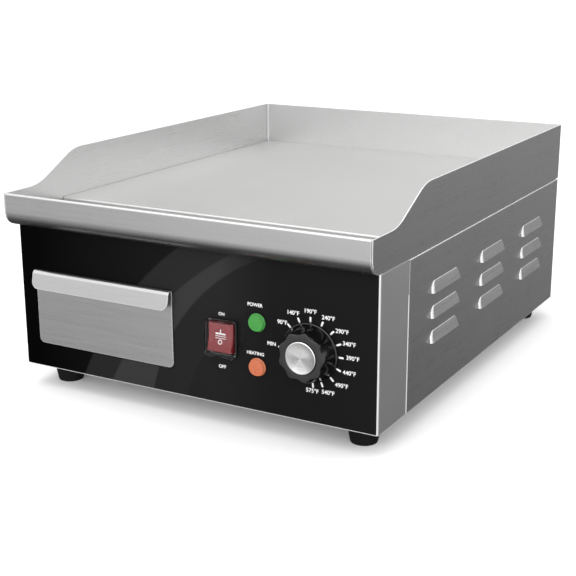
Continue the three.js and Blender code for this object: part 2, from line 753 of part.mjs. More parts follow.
function controlOverlay() {
  const reach = bodyHalf - OVERLAY_MARGIN;
  const sheet = box(-reach, reach, 0, OVERLAY, bodyBottom + OVERLAY_FOOT, bodyTop - GAP);
  return cut(sheet, panelOpenings(-5, 5));
}

// A pressed louvre on a sheet that faces +X: its mouth opens downwards. Returns what to add and what
// to cut away, both with their lower edge at the origin.
function louvre() {
  const half = LOUVRE_LENGTH / 2;
  const end = LOUVRE_END;
  const hood = (inset, back) => {
    const reach = LOUVRE_REACH - inset;
    const points = [];
    for (const way of [-1, 1]) {
      points.push([back, way * (half - inset), 0]);
      points.push([back, way * (half - inset - 1), LOUVRE_HEIGHT * 0.55 - inset]);
      points.push([back, way * (half - inset - 4), LOUVRE_HEIGHT - 1.4 * inset]);
      points.push([0, way * (half - inset), 0]);
      points.push([0, way * (half - inset - 1), LOUVRE_HEIGHT * 0.55 - inset]);
      points.push([0, way * (half - inset - 4), LOUVRE_HEIGHT - 1.4 * inset]);
      points.push([reach * 0.8, way * (half - end * 0.36), 0]);
      points.push([reach, way * (half - end), 0]);
      points.push([reach * 0.94, way * (half - end), LOUVRE_HEIGHT * 0.42]);
      points.push([reach * 0.62, way * (half - end), LOUVRE_HEIGHT * 0.82]);
    }
    return points.map((p) => new THREE.Vector3(...p));
  };
  const mouth = hood(BODY_SHEET, -2 * BODY_SHEET).flatMap((p) =>
    p.z === 0 ? [p, new THREE.Vector3(p.x, p.y, -LOUVRE_LIP)] : [p],
  );
  return {
    raised: new ConvexGeometry(hood(0, -BODY_SHEET / 2)),
    hollow: new ConvexGeometry(mouth),
  };
}

// Adds louvres to a sheet facing +X, at the given (y, z) places of their lower edges.
function withLouvres(sheet, faceX, places) {
  const { raised, hollow } = louvre();
  let solid = toSolid(sheet);
  places.forEach(([y, z]) => {
    solid = solid.add(toSolid(raised.clone().translate(faceX, y, z)));
  });
  places.forEach(([y, z]) => {
    solid = solid.subtract(toSolid(hollow.clone().translate(faceX, y, z)));
  });
  return toGeometry(solid);
}

const louvreRows = Array.from(
  { length: VENT_ROWS },
  (_, i) =>
    bodyTop - LOUVRE_TOP_MARGIN - LOUVRE_HEIGHT - (VENT_ROWS - 1 - i) * LOUVRE_ROW_PITCH,
);

// Side panel, drawn as the right one.
function rightSide() {
  const web = bodyHalf - BODY_SHEET;
  const plain = join([
    box(web, bodyHalf, sideFront, DEPTH, bodyBottom, bodyTop),
    box(bodyHalf - TOP_FLANGE, bodyHalf, sideFront, shieldRear, bodyTop - BODY_SHEET, bodyTop),
    box(bodyHalf - FLANGE, bodyHalf, sideFront, shieldRear, bodyBottom, bodyBottom + BODY_SHEET),
    box(bodyHalf - FLANGE, bodyHalf, sideFront, sideFront + BODY_SHEET, bodyBottom, bodyTop),
    box(
      bodyHalf - FLANGE,
      bodyHalf,
      DEPTH - 2 * BODY_SHEET - GAP,
      DEPTH - BODY_SHEET - GAP,
      bodyBottom,
      bodyTop,
    ),
  ]);
  const first = sideFront + LOUVRE_FRONT_MARGIN + LOUVRE_LENGTH / 2;
  const last = DEPTH - LOUVRE_REAR_MARGIN - LOUVRE_LENGTH / 2;
  const columns = Array.from(
    { length: VENT_COLUMNS },
    (_, i) => first + ((last - first) * i) / (VENT_COLUMNS - 1),
  );
  const places = columns.flatMap((y) => louvreRows.map((z) => [y, z]));
  const studHoles = trayStuds
    .filter(([x]) => x > 0)
    .map(([x, y]) => rod(STUD_RADIUS + 0.5, bodyTop - 3, bodyTop + 1, 8).translate(x, y, 0));
  const screwHoles = rearScrewPlaces
    .filter(([x]) => x > 0)
    .map(([x, z]) =>
      rod(SCREW_RADIUS + GAP, 0, 6, 8).rotateX(-Math.PI / 2).translate(x, DEPTH - 5, z),
    );
  return cut(withLouvres(plain, bodyHalf, places), [...studHoles, ...screwHoles]);
}

// The left panel is the right one mirrored, with its faces turned back outwards.
function mirrored(geometry) {
  const flipped = geometry.clone().scale(-1, 1, 1);
  const index = flipped.index.array;
  for (let i = 0; i < index.length; i += 3) {
    [index[i + 1], index[i + 2]] = [index[i + 2], index[i + 1]];
  }
  flipped.computeVertexNormals();
  return flipped;
}

const rearHalf = bodyHalf - BODY_SHEET - GAP;
const rearScrewPlaces = [-1, 1].flatMap((side) =>
  [bodyBottom + FLANGE, bodyTop - FLANGE].map((z) => [
    side * (bodyHalf - BODY_SHEET - FLANGE / 2),
    z,
  ]),
);

function rearPanel() {
  const inner = bodyHalf - TOP_FLANGE - GAP;
  const plain = join([
    box(-rearHalf, rearHalf, DEPTH - BODY_SHEET, DEPTH, bodyBottom, bodyTop),
    box(-inner, inner, DEPTH - FLANGE, DEPTH, bodyTop - BODY_SHEET, bodyTop),
  ]);
  // The sheet is turned to face +X while its louvres are added, then turned back.
  const places = [-1, 0, 1].flatMap((n) =>
    louvreRows.slice(1).map((z) => [n * (LOUVRE_LENGTH + 14), z]),
  );
  const vented = withLouvres(plain.rotateZ(-Math.PI / 2), DEPTH, places).rotateZ(Math.PI / 2);
  const screws = rearScrewPlaces.map(([x, z]) =>
    rod(SCREW_RADIUS + GAP, -3, 3, 8).rotateX(Math.PI / 2).translate(x, DEPTH, z),
  );
  const gland = rod(GLAND_THREAD_RADIUS + GAP, -3, 3, 16)
    .rotateX(Math.PI / 2)
    .translate(glandX, DEPTH, glandZ);
  return cut(vented, [...screws, gland]);
}

const footPlaces = [-1, 1].flatMap((side) =>
  [FOOT_FRONT_INSET, DEPTH - FOOT_REAR_INSET].map((y) => [side * (bodyHalf - FOOT_SIDE_INSET), y]),
);

// Bottom cover inside the lower flanges, with rows of cooling slots.
const baseTop = bodyBottom + 2 * BODY_SHEET + BASE_CLEARANCE;

function basePlate() {
  const reach = bodyHalf - BODY_SHEET - BASE_CLEARANCE;
  const sheet = box(
    -reach,
    reach,
    boxFace + BOX_BEND + BASE_CLEARANCE,
    DEPTH - 2 * BODY_SHEET - 2 * GAP,
    baseTop - BODY_SHEET,
    baseTop,
  );
  const corners = [-1, 1].map((side) =>
    box(
      Math.min(side * (reach - FLANGE), side * (reach + 1)),
      Math.max(side * (reach - FLANGE), side * (reach + 1)),
      BOX_DEPTH - BODY_SHEET - BASE_CLEARANCE,
      sideFront + BODY_SHEET + BASE_CLEARANCE,
      baseTop - 3,
      baseTop + 3,
    ),
  );
  const slots = [-2, -1, 0, 1, 2].flatMap((n) =>
    [0.45, 0.68].map((share) =>
      box(
        n * BASE_SLOT_PITCH - BASE_SLOT[0] / 2,
        n * BASE_SLOT_PITCH + BASE_SLOT[0] / 2,
        share * DEPTH - BASE_SLOT[1] / 2,
        share * DEPTH + BASE_SLOT[1] / 2,
        baseTop - 3,
        baseTop + 3,
      ),
    ),
  );
  const bores = footPlaces.map(([x, y]) =>
    rod(SCREW_RADIUS + GAP, baseTop - 3, baseTop + 3, 8).translate(x, y, 0),
  );
  return cut(sheet, [...corners, ...slots, ...bores]);
}

const cabinet = section();
const rightPanel = rightSide();
place(cabinet, "control_box", controlBox(), stainless);
place(cabinet, "control_overlay", controlOverlay(), blackGloss);
place(cabinet, "right_side_panel", rightPanel, stainless);
place(cabinet, "left_side_panel", mirrored(rightPanel), stainless);
place(cabinet, "rear_panel", rearPanel(), stainless);
place(cabinet, "base_plate", basePlate(), zincSteel);

// A tapered foot with a recess for its screw, hanging below the cabinet.
const foot = () =>
  turned([
    [FOOT_BORE, FOOT_RECESS],
    [SCREW_HEAD_RADIUS + 1, FOOT_RECESS],
    [SCREW_HEAD_RADIUS + 1, 0],
    [FOOT_BOTTOM_RADIUS - 1, 0],
    [FOOT_BOTTOM_RADIUS, 1],
    [FOOT_TOP_RADIUS, FOOT_HEIGHT - 3],
    [FOOT_TOP_RADIUS, FOOT_HEIGHT - GAP],
    [FOOT_SPIGOT_RADIUS, FOOT_HEIGHT - GAP],
    [FOOT_SPIGOT_RADIUS, baseTop - BODY_SHEET - GAP],
    [FOOT_BORE, baseTop - BODY_SHEET - GAP],
    [FOOT_BORE, FOOT_RECESS],
  ]);

// A pan-head screw whose head starts at its own origin and whose shank runs along +Z.
const screw = (length) =>
  turned(
    [
      [0, -SCREW_HEAD],
      [SCREW_HEAD_RADIUS * 0.6, -SCREW_HEAD],
      [SCREW_HEAD_RADIUS, -SCREW_HEAD * 0.35],
      [SCREW_HEAD_RADIUS, 0],
      [SCREW_RADIUS, 0],
      [SCREW_RADIUS, length],
      [0, length],
    ],
    12,
  );

const footings = section();
footPlaces.forEach(([x, y]) => {
  const corner = (y < DEPTH / 2 ? "front" : "rear") + (x < 0 ? "_left" : "_right");
  place(footings, "foot_" + corner, foot(), rubber, [x, y, 0]);
  const reach = baseTop - FOOT_RECESS + 5;
  place(footings, "foot_screw_" + corner, screw(reach), zincSteel, [x, y, FOOT_RECESS - GAP]);
});
rearScrewPlaces.forEach(([x, z]) => {
  const corner = (z > controlZ ? "upper" : "lower") + (x < 0 ? "_left" : "_right");
  place(footings, "rear_screw_" + corner, screw(8), zincSteel, [x, DEPTH + GAP, z], TO_FRONT);
});

// Cord inlet: a gland screwed through the rear panel and held by a locknut.
const glandBody = () =>
  join([
    turned([
      [CORD_HOLE_RADIUS, -GLAND_TAIL],
      [GLAND_THREAD_RADIUS, -GLAND_TAIL],
      [GLAND_THREAD_RADIUS, GAP],
      [GLAND_HEX_RADIUS - 1.5, GAP],
      [GLAND_HEX_RADIUS - 1.5, GLAND_REACH - 3],
      [GLAND_THREAD_RADIUS - 1, GLAND_REACH],
      [CORD_HOLE_RADIUS, GLAND_REACH],
      [CORD_HOLE_RADIUS, -GLAND_TAIL],
    ]),
    turned(
      [
        [GLAND_THREAD_RADIUS, GAP],
        [GLAND_HEX_RADIUS, GAP],
        [GLAND_HEX_RADIUS, GLAND_HEX],
        [GLAND_THREAD_RADIUS, GLAND_HEX],
        [GLAND_THREAD_RADIUS, GAP],
      ],
      6,
    ),
  ]);

const glandLocknut = () =>
  turned(
    [
      [LOCKNUT_BORE, 0],
      [GLAND_HEX_RADIUS + 1, 0],
      [GLAND_HEX_RADIUS + 1, LOCKNUT_HEIGHT],
      [LOCKNUT_BORE, LOCKNUT_HEIGHT],
      [LOCKNUT_BORE, 0],
    ],
    6,
  );

place(footings, "cord_gland", glandBody(), blackPlastic, [glandX, DEPTH, glandZ], TO_REAR);
place(
  footings,
  "gland_locknut",
  glandLocknut(),
  zincSteel,
  [glandX, DEPTH - BODY_SHEET - GAP, glandZ],
  TO_FRONT,
);

// ---- Grease drawer ---------------------------------------------------------------------------------

const drawerBack = -GAP; // the tray's front wall meets the back of the drawer front here
const trayLeft = openingLeft + DRAWER_CLEARANCE;
const trayRight = openingRight - DRAWER_CLEARANCE;
const trayLow = openingLow + DRAWER_CLEARANCE;
const trayHigh = openingHigh - DRAWER_CLEARANCE;

// Front plate whose top is folded forward and down into a flared pull.
function drawerFront() {
  const plateY = drawerBack - GAP - DRAWER_SHEET / 2;
  const top = drawerHigh - DRAWER_SHEET / 2;
  const lipY = plateY - HANDLE_REACH;
  const path = [
    [plateY, drawerLow],
    ...arc(plateY - HANDLE_BEND, top - HANDLE_BEND, HANDLE_BEND, 0, 90, 4),
    ...arc(lipY + HANDLE_BEND, top - HANDLE_BEND, HANDLE_BEND, 90, 175, 4),
    [lipY - HANDLE_FLARE, top - HANDLE_DROP],
  ];
  const ribbon = alongX(bentSheet(path, DRAWER_SHEET), drawerLeft, drawerRight);
  const plateOutline = roundedRect(drawerLeft, drawerRight, drawerLow, drawerHigh + 20, PLATE_ROUND);
  const lipLow = top - HANDLE_DROP - DRAWER_SHEET;
  const lipOutline = roundedRect(drawerLeft, drawerRight, lipLow, drawerHigh + 20, HANDLE_CORNER);
  const split = plateY - HANDLE_REACH / 2;
  return overlapOf(
    ribbon,
    join([
      alongY(plateOutline, split, plateY + 5, 4),
      alongY(lipOutline, lipY - 10, split, 5),
    ]),
  );
}

// Open-topped tray.
const drawerTray = () =>
  cut(box(trayLeft, trayRight, drawerBack, drawerBack + DRAWER_LENGTH, trayLow, trayHigh), [
    box(
      trayLeft + DRAWER_SHEET,
      trayRight - DRAWER_SHEET,
      drawerBack + DRAWER_SHEET,
      drawerBack + DRAWER_LENGTH - DRAWER_SHEET,
      trayLow + DRAWER_SHEET,
      trayHigh + 5,
    ),
  ]);

// Rail that stands on the base plate and carries one edge of the tray, with a side fence.
function drawerRail(side) {
  const edge = side < 0 ? trayLeft : trayRight;
  const ledge = trayLow - GAP - BODY_SHEET / 2;
  const fence = edge + side * (GAP + 0.7 + BODY_SHEET / 2);
  const path = [
    [edge - side * RAIL_LEDGE, ledge],
    [fence, ledge],
    [fence, ledge + RAIL_FENCE],
  ];
  const web = [
    [edge - side * RAIL_WEB, ledge - BODY_SHEET / 4],
    [edge - side * RAIL_WEB, baseTop + GAP + BODY_SHEET / 2],
    [edge - side * (RAIL_WEB + RAIL_FOOT), baseTop + GAP + BODY_SHEET / 2],
  ];
  const run = (points) =>
    alongY(bentSheet(points, BODY_SHEET), boxFace + BOX_BEND + FLANGE, DRAWER_LENGTH);
  return join([run(path), run(web)]);
}

const drawer = section();
place(drawer, "drawer_front", drawerFront(), stainless);
place(drawer, "drawer_tray", drawerTray(), stainless);
place(drawer, "drawer_rail_left", drawerRail(-1), zincSteel);
place(drawer, "drawer_rail_right", drawerRail(1), zincSteel);

// ---- Controls --------------------------------------------------------------------------------------

const controls = section();
controls.position.set(0, 0, controlZ); // the controls share one centre line

// Tapered grip with rounded lobes on a low skirt, bored for the shaft and recessed for its cap.
function knob() {
  const lobes = new THREE.Shape(
    Array.from({ length: KNOB_LOBES * 8 }, (_, i) => {
      const a = (2 * Math.PI * i) / (KNOB_LOBES * 8);
      const r = KNOB_GRIP_RADIUS - KNOB_LOBE_DEPTH * (1 - Math.cos(KNOB_LOBES * a)) * 0.5;
      return new THREE.Vector2(r * Math.cos(a), r * Math.sin(a));
    }),
  );
  const low = KNOB_CLEARANCE;
  const foot = low + KNOB_SKIRT_HEIGHT / 2;
  const grip = extrude(lobes, KNOB_HEIGHT - foot).translate(0, 0, foot);
  const points = grip.attributes.position;
  for (let i = 0; i < points.count; i++) {
    const share = (KNOB_HEIGHT - points.getZ(i)) / (KNOB_HEIGHT - foot);
    const spread = 1 + share * (KNOB_BASE_RADIUS / KNOB_GRIP_RADIUS - 1);
    points.setXY(i, points.getX(i) * spread, points.getY(i) * spread);
  }
  const skirt = rod(KNOB_SKIRT_RADIUS, low, low + KNOB_SKIRT_HEIGHT, 48);
  const bore = rod(SHAFT_RADIUS + GAP, low - 1, low + SHAFT_IN_KNOB + GAP, 12);
  const seat = rod(CAP_RADIUS + GAP, KNOB_HEIGHT - CAP_SEAT, KNOB_HEIGHT + 1, 40);
  return cut(join([skirt, grip]), [bore, seat]);
}

const knobCap = () =>
  turned(
    [
      [0, 0],
      [CAP_RADIUS, 0],
      [CAP_RADIUS, CAP_HEIGHT - 0.5],
      [CAP_RADIUS - 0.5, CAP_HEIGHT],
      [0, CAP_HEIGHT],
    ],
    40,
  );

place(controls, "temperature_knob", knob(), blackGloss, [dialX, 0, 0], TO_FRONT);
place(
  controls,
  "knob_cap",
  knobCap(),
  spunAluminium,
  [dialX, CAP_SEAT - GAP - KNOB_HEIGHT, 0],
  TO_FRONT,
);
place(
  controls,
  "thermostat_shaft",
  rod(SHAFT_RADIUS, -shaftRear - 2, KNOB_CLEARANCE + SHAFT_IN_KNOB, 12),
  zincSteel,
  [dialX, 0, 0],
  TO_FRONT,
);

// Thermostat: a stepped housing with two ears and four spade tabs, behind the control box.
function thermostatBody() {
  const half = THERMOSTAT_SIZE / 2;
  const step = half - THERMOSTAT_STEP;
  const joint = shaftRear + THERMOSTAT_DEPTH;
  const ears = half + THERMOSTAT_EAR;
  const bracket = box(-ears, ears, shaftRear, shaftRear + 1.5, -step / 2, step / 2);
  const housing = box(-half, half, shaftRear + 1, joint, -half, half);
  const base = box(-step, step, joint - 1, thermostatRear, -step, step);
  const tabs = [-TAB_HALF, TAB_HALF].flatMap((x) =>
    [-tabHeight, tabHeight].map((z) =>
      box(
        x - TAB_WIDTH / 2,
        x + TAB_WIDTH / 2,
        joint - 1,
        joint + TAB_LENGTH,
        z - TAB_SHEET / 2,
        z + TAB_SHEET / 2,
      ),
    ),
  );
  const shaftHole = rod(SHAFT_RADIUS + 0.5, -shaftRear - 3, -shaftRear + 1, 12);
  const tubeHole = rod(CAPILLARY_RADIUS + 0.5, -thermostatRear - 1, -thermostatRear + 4, 8);
  const holes = [shaftHole, tubeHole].map((hole) => hole.rotateX(Math.PI / 2));
  return cut(join([bracket, housing, base, ...tabs]), holes);
}

place(controls, "thermostat_body", thermostatBody(), blackPlastic, [dialX, 0, 0]);

// Rocker: two faces that meet in a shallow valley. It turns about its own origin.
function rocker() {
  const lift = ROCKER_HALF * Math.tan(ROCKER_TILT);
  const face = new THREE.Shape(
    [
      [-ROCKER_VALLEY, 0],
      [-ROCKER_VALLEY - lift, ROCKER_HALF],
      [-ROCKER_VALLEY - lift + 4, ROCKER_HALF + 0.1],
      [0.5, ROCKER_HALF - 4.5],
      [0.5, 4.5 - ROCKER_HALF],
      [-ROCKER_VALLEY - lift + 4, -ROCKER_HALF - 0.1],
      [-ROCKER_VALLEY - lift, -ROCKER_HALF],
    ].map(([y, z]) => new THREE.Vector2(y, z)),
  );
  return alongX(face, -ROCKER_WIDTH / 2, ROCKER_WIDTH / 2);
}

// Bezel and housing in one moulding, with a window and a well for the rocker.
function switchBody() {
  const w = SWITCH_WIDTH / 2;
  const h = SWITCH_HEIGHT / 2;
  const [neckX, neckZ] = switchNeck.map((half) => half - GAP);
  const bezel = alongY(roundedRect(-w, w, -h, h, 1.5), -GAP - BEZEL_THICKNESS, -GAP, 3);
  const housing = box(-neckX, neckX, -GAP - 0.5, SWITCH_DEPTH, -neckZ, neckZ);
  const lugs = [-lugHeight, 0, lugHeight].map((z) =>
    box(
      -LUG_WIDTH / 2,
      LUG_WIDTH / 2,
      SWITCH_DEPTH - 1,
      SWITCH_DEPTH + SWITCH_LUG,
      z - TAB_SHEET / 2,
      z + TAB_SHEET / 2,
    ),
  );
  const window = box(
    -ROCKER_WIDTH / 2 - ROCKER_SIDE_ROOM,
    ROCKER_WIDTH / 2 + ROCKER_SIDE_ROOM,
    -GAP - BEZEL_THICKNESS - 1,
    ROCKER_PIVOT_DEPTH + 5,
    -ROCKER_HALF - ROCKER_ROOM,
    ROCKER_HALF + ROCKER_ROOM,
  );
  return cut(join([bezel, housing, ...lugs]), [window]);
}

// Clear splash cover over the rocker, open at the back.
function switchCover() {
  const w = SWITCH_WIDTH / 2;
  const h = SWITCH_HEIGHT / 2;
  const front = -COVER_REACH;
  const back = -2 * GAP - BEZEL_THICKNESS;
  const outer = alongY(roundedRect(-w, w, -h, h, 2), front, back, 3);
  const t = COVER_WALL;
  const inner = alongY(roundedRect(t - w, w - t, t - h, h - t, 1.4), front + t, back + 1, 3);
  return cut(outer, [inner]);
}

place(controls, "switch_body", switchBody(), blackPlastic, [switchX, 0, 0]);
place(controls, "switch_cover", switchCover(), clearPlastic, [switchX, 0, 0]);
// It rests switched on: the upper half pressed in until it lies parallel with the panel.
place(
  controls,
  "switch_rocker",
  rocker(),
  redPlastic,
  [switchX, ROCKER_PIVOT_DEPTH, 0],
  [-ROCKER_TILT, 0, 0],
);

const lampLens = () =>
  turned([
    [0, GAP],
    [LAMP_RADIUS, GAP],
    [LAMP_RADIUS, GAP + 1.6],
    [LAMP_RADIUS * 0.92, LAMP_REACH * 0.8],
    [LAMP_RADIUS * 0.6, LAMP_REACH],
    [0, LAMP_REACH],
  ]);

const lampBarrel = () =>
  turned([
    [0, -LAMP_BARREL_LENGTH],
    [LAMP_BARREL_RADIUS * 0.8, -LAMP_BARREL_LENGTH],
    [LAMP_BARREL_RADIUS, 2 - LAMP_BARREL_LENGTH],
    [LAMP_BARREL_RADIUS, 0],
    [0, 0],
  ]);

const lamps = [
  ["power_lamp", lampHeights[0], greenLens],
  ["heating_lamp", lampHeights[1], orangeLens],
];
lamps.forEach(([name, z, lens]) => {
  place(controls, name + "_lens", lampLens(), lens, [lampX, 0, z], TO_FRONT);
  place(controls, name + "_barrel", lampBarrel(), blackPlastic, [lampX, 0, z], TO_FRONT);
});

// ---- Wiring ----------------------------------------------------------------------------------------

const wiring = section();
const blockLeft = glandX - BLOCK_TO_GLAND - BLOCK_SIZE[0] / 2;
const blockFront = DEPTH - BLOCK_TO_REAR - BLOCK_SIZE[1] / 2;
const blockLow = baseTop + GAP;
const blockTop = blockLow + BLOCK_SIZE[2];
const terminals = [-1, 0, 1].map((n) => blockLeft + BLOCK_SIZE[0] / 2 + n * BLOCK_PITCH);

// Porcelain terminal block with three screw wells.
function terminalBlock() {
  const [length, width] = BLOCK_SIZE;
  const body = box(
    blockLeft,
    blockLeft + length,
    blockFront,
    blockFront + width,
    blockLow,
    blockTop,
  );
  const wells = terminals.map((x) =>
    rod(WELL_RADIUS, blockTop - WELL_DEPTH, blockTop + 1, 8).translate(
      x,
      blockFront + width / 2,
      0,
    ),
  );
  return cut(body, wells);
}

place(wiring, "terminal_block", terminalBlock(), whiteCeramic);

// A heat-proof lead that follows its points and stops just short of what it serves.
const lead = (points) =>
  tube(
    new THREE.CatmullRomCurve3(points.map((p) => new THREE.Vector3(...p))),
    LEAD_RADIUS,
    6,
    22,
  );

const lugRear = SWITCH_DEPTH + SWITCH_LUG + LEAD_END;
const tabRear = shaftRear + THERMOSTAT_DEPTH + TAB_LENGTH + LEAD_END;
const middleY = DEPTH / 2;
const leadLow = blockLow + BLOCK_SIZE[2] / 2;
const railSide = openingRight + RAIL_TO_LEAD;
const tailX = 1.5 * ELEMENT_PITCH;
const tailY = elementFront - ELEMENT_PITCH / 2;
const tailEnd = elementZ - ELEMENT_TAIL;

place(
  wiring,
  "lead_supply_to_switch",
  lead([
    [terminals[0], blockFront - LEAD_END, leadLow],
    [terminals[0], blockFront - 30, leadLow],
    [railSide, middleY, leadLow],
    [railSide, 2 * lugRear + 10, leadLow],
    [switchX, lugRear + 22, controlZ - 20],
    [switchX, lugRear + 6, controlZ - lugHeight],
    [switchX, lugRear, controlZ - lugHeight],
  ]),
  leadSleeve,
);
place(
  wiring,
  "lead_switch_to_thermostat",
  lead([
    [switchX, lugRear, controlZ + lugHeight],
    [switchX, lugRear + 8, controlZ + lugHeight],
    [switchX + 20, lugRear + 18, controlZ + 14],
    [dialX - 34, lugRear + 18, controlZ + 22],
    [dialX - TAB_HALF - 4, tabRear + 13, controlZ + 20],
    [dialX - TAB_HALF, tabRear + 4, controlZ + tabHeight],
    [dialX - TAB_HALF, tabRear, controlZ + tabHeight],
  ]),
  leadSleeve,
);
place(
  wiring,
  "lead_supply_to_element",
  lead([
    [terminals[1], blockFront - LEAD_END, leadLow],
    [terminals[1], blockFront - 40, leadLow],
    [tailX + 15, middleY, leadLow + 4],
    [tailX + 12, tailY + 46, leadLow + 18],
    [tailX, tailY + 4, (leadLow + tailEnd) / 2],
    [tailX, tailY, tailEnd - LEAD_END],
  ]),
  leadSleeve,
);

// ---- Frame -----------------------------------------------------------------------------------------

const foremost = -Math.max(FASCIA_REACH, KNOB_HEIGHT + CAP_HEIGHT + GAP - CAP_SEAT, COVER_REACH);
const rearmost = DEPTH + Math.max(GLAND_REACH, LOUVRE_REACH);
griddle.position.y = -(foremost + rearmost) / 2;

export default griddle;
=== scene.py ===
# %% [markdown]
# # A countertop griddle, finished in Blender
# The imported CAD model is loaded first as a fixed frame. It already has every part at its real size
# and place, so this notebook only adds what CAD leaves plain: rolled sheet edges, pressed louvres,
# a fluted knob, printed lettering and finishes with real grain. Everything is in metres.

# %% Load the frame
import math
import json
import bmesh
import bpy
from mathutils import Matrix, Quaternion, Vector


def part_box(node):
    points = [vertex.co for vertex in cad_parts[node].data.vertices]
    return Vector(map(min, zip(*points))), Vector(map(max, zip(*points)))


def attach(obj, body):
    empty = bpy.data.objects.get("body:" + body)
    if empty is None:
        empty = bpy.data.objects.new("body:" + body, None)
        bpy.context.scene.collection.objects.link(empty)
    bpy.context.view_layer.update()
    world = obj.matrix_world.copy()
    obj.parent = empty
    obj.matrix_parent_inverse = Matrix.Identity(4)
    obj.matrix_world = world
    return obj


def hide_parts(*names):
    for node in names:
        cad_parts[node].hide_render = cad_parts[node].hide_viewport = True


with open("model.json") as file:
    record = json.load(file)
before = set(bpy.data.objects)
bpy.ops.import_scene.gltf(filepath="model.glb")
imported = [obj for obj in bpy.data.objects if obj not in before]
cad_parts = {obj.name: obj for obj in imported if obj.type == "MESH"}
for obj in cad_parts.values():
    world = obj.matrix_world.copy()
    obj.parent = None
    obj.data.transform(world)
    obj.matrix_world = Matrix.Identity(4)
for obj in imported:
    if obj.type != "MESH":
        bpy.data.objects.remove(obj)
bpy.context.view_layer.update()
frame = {"nodes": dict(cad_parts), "record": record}

MM, TOUCH = 0.001, 1e-6     # points nearer than TOUCH count as one
X, Y, Z = Vector((1, 0, 0)), Vector((0, 1, 0)), Vector((0, 0, 1))
scene = bpy.context.scene


def placed(name, data):
    """Puts new data in the scene as an object."""
    thing = bpy.data.objects.new(name, data)
    scene.collection.objects.link(thing)
    return thing

# %% [markdown]
# ## Where things are
# Places are read from the frame's own boxes instead of being typed again. If the CAD changes and
# is packed again, this notebook follows it. The panel's front face is the plane that most of the
# front pieces are measured from.

# %% Main places
tray_low, tray_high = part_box("splash_guard")
overlay_low, overlay_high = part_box("control_overlay")
plate_low, plate_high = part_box("griddle_plate")
panel_y = overlay_low.y
cabinet_low, cabinet_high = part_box("control_box")
side_low, side_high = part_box("right_side_panel")
gutter_low, gutter_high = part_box("front_gutter")
fascia_top = gutter_high.z
print("panel face at y", round(panel_y, 4), "cabinet top", round(cabinet_high.z, 4))

# %% [markdown]
# ## The camera
# A long lens from a little above and to the right, the way such appliances are shown in a
# catalogue. A long lens could be swapped for a nearer, wider one, but then the front corner would
# loom and the cabinet's parallel edges would splay apart.

# %% Camera
VIEW_TURN = math.radians(29.51)
VIEW_DIP = math.radians(16.13)
VIEW_ROLL = math.radians(-0.16)
camera_data = bpy.data.cameras.new("studio_camera")
camera_data.lens = 74.5
camera = placed("studio_camera", camera_data)
camera.location = (0.5459, panel_y - 0.7899, cabinet_low.z + 0.3733)
toward = Vector((
    -math.sin(VIEW_TURN) * math.cos(VIEW_DIP),
    math.cos(VIEW_TURN) * math.cos(VIEW_DIP),
    -math.sin(VIEW_DIP),
))
camera.rotation_mode = "QUATERNION"
camera.rotation_quaternion = toward.to_track_quat("-Z", "Y") @ Quaternion(Z, VIEW_ROLL)
scene.camera = camera

# %% [markdown]
# ## Shader groups that several finishes share
# Brushed grain is the fine parallel scratching that a belt leaves on stainless sheet. It could be
# an image, but noise stretched along one direction gives it at any size with no file. The group
# only puts out values, so each finish decides what the grain does to its colour, gloss and height.

# %% Node helpers and the brushed grain group


def new_group(name, inputs, outputs):
    group = bpy.data.node_groups.new(name, "ShaderNodeTree")
    for label, kind, value in inputs:
        socket = group.interface.new_socket(name=label, in_out="INPUT", socket_type=kind)
        if value is not None:
            socket.default_value = value
    for label, kind in outputs:
        group.interface.new_socket(name=label, in_out="OUTPUT", socket_type=kind)
    return group, group.nodes.new("NodeGroupInput"), group.nodes.new("NodeGroupOutput")


def put(tree, socket, value):
    """Links a node's output to a socket, or types a number or colour on it."""
    if isinstance(value, bpy.types.NodeSocket):
        tree.links.new(value, socket)
    else:
        socket.default_value = value


def add(tree, kind, settings=None, **inputs):
    node = tree.nodes.new(kind)
    for key, value in (settings or {}).items():
        setattr(node, key, value)
    for key, value in inputs.items():
        numbered = key[0] == "i" and key[1:].isdigit()
        put(tree, node.inputs[int(key[1:]) if numbered else key.replace("_", " ")], value)
    return node


def maths(tree, operation, *values, clamp=False):
    settings = {"operation": operation, "use_clamp": clamp}
    numbered = {f"i{n}": value for n, value in enumerate(values)}
    return add(tree, "ShaderNodeMath", settings, **numbered).outputs[0]


def times(tree, first, second, clamp=False):
    return maths(tree, "MULTIPLY", first, second, clamp=clamp)


def plus(tree, first, second):
    return maths(tree, "ADD", first, second)


def vector_maths(tree, operation, first, second=None):
    """A vector maths node. Its dot product and length come out as a value."""
    settings, inputs = {"operation": operation}, {"i0": first}
    if second is not None:
        inputs["i1"] = second
    node = add(tree, "ShaderNodeVectorMath", settings, **inputs)
    return node.outputs["Value" if operation in ("DOT_PRODUCT", "LENGTH") else 0]


def ranged(tree, value, low, high, to_low=0.0, to_high=1.0):
    node = add(tree, "ShaderNodeMapRange", {"clamp": True}, Value=value, From_Min=low,
               From_Max=high, To_Min=to_low, To_Max=to_high)
    return node.outputs["Result"]


def noise(tree, vector, scale, detail, **more):
    inputs = {"Vector": vector, "Scale": scale, "Detail": detail, **more}
    return add(tree, "ShaderNodeTexNoise", None, **inputs).outputs["Fac"]


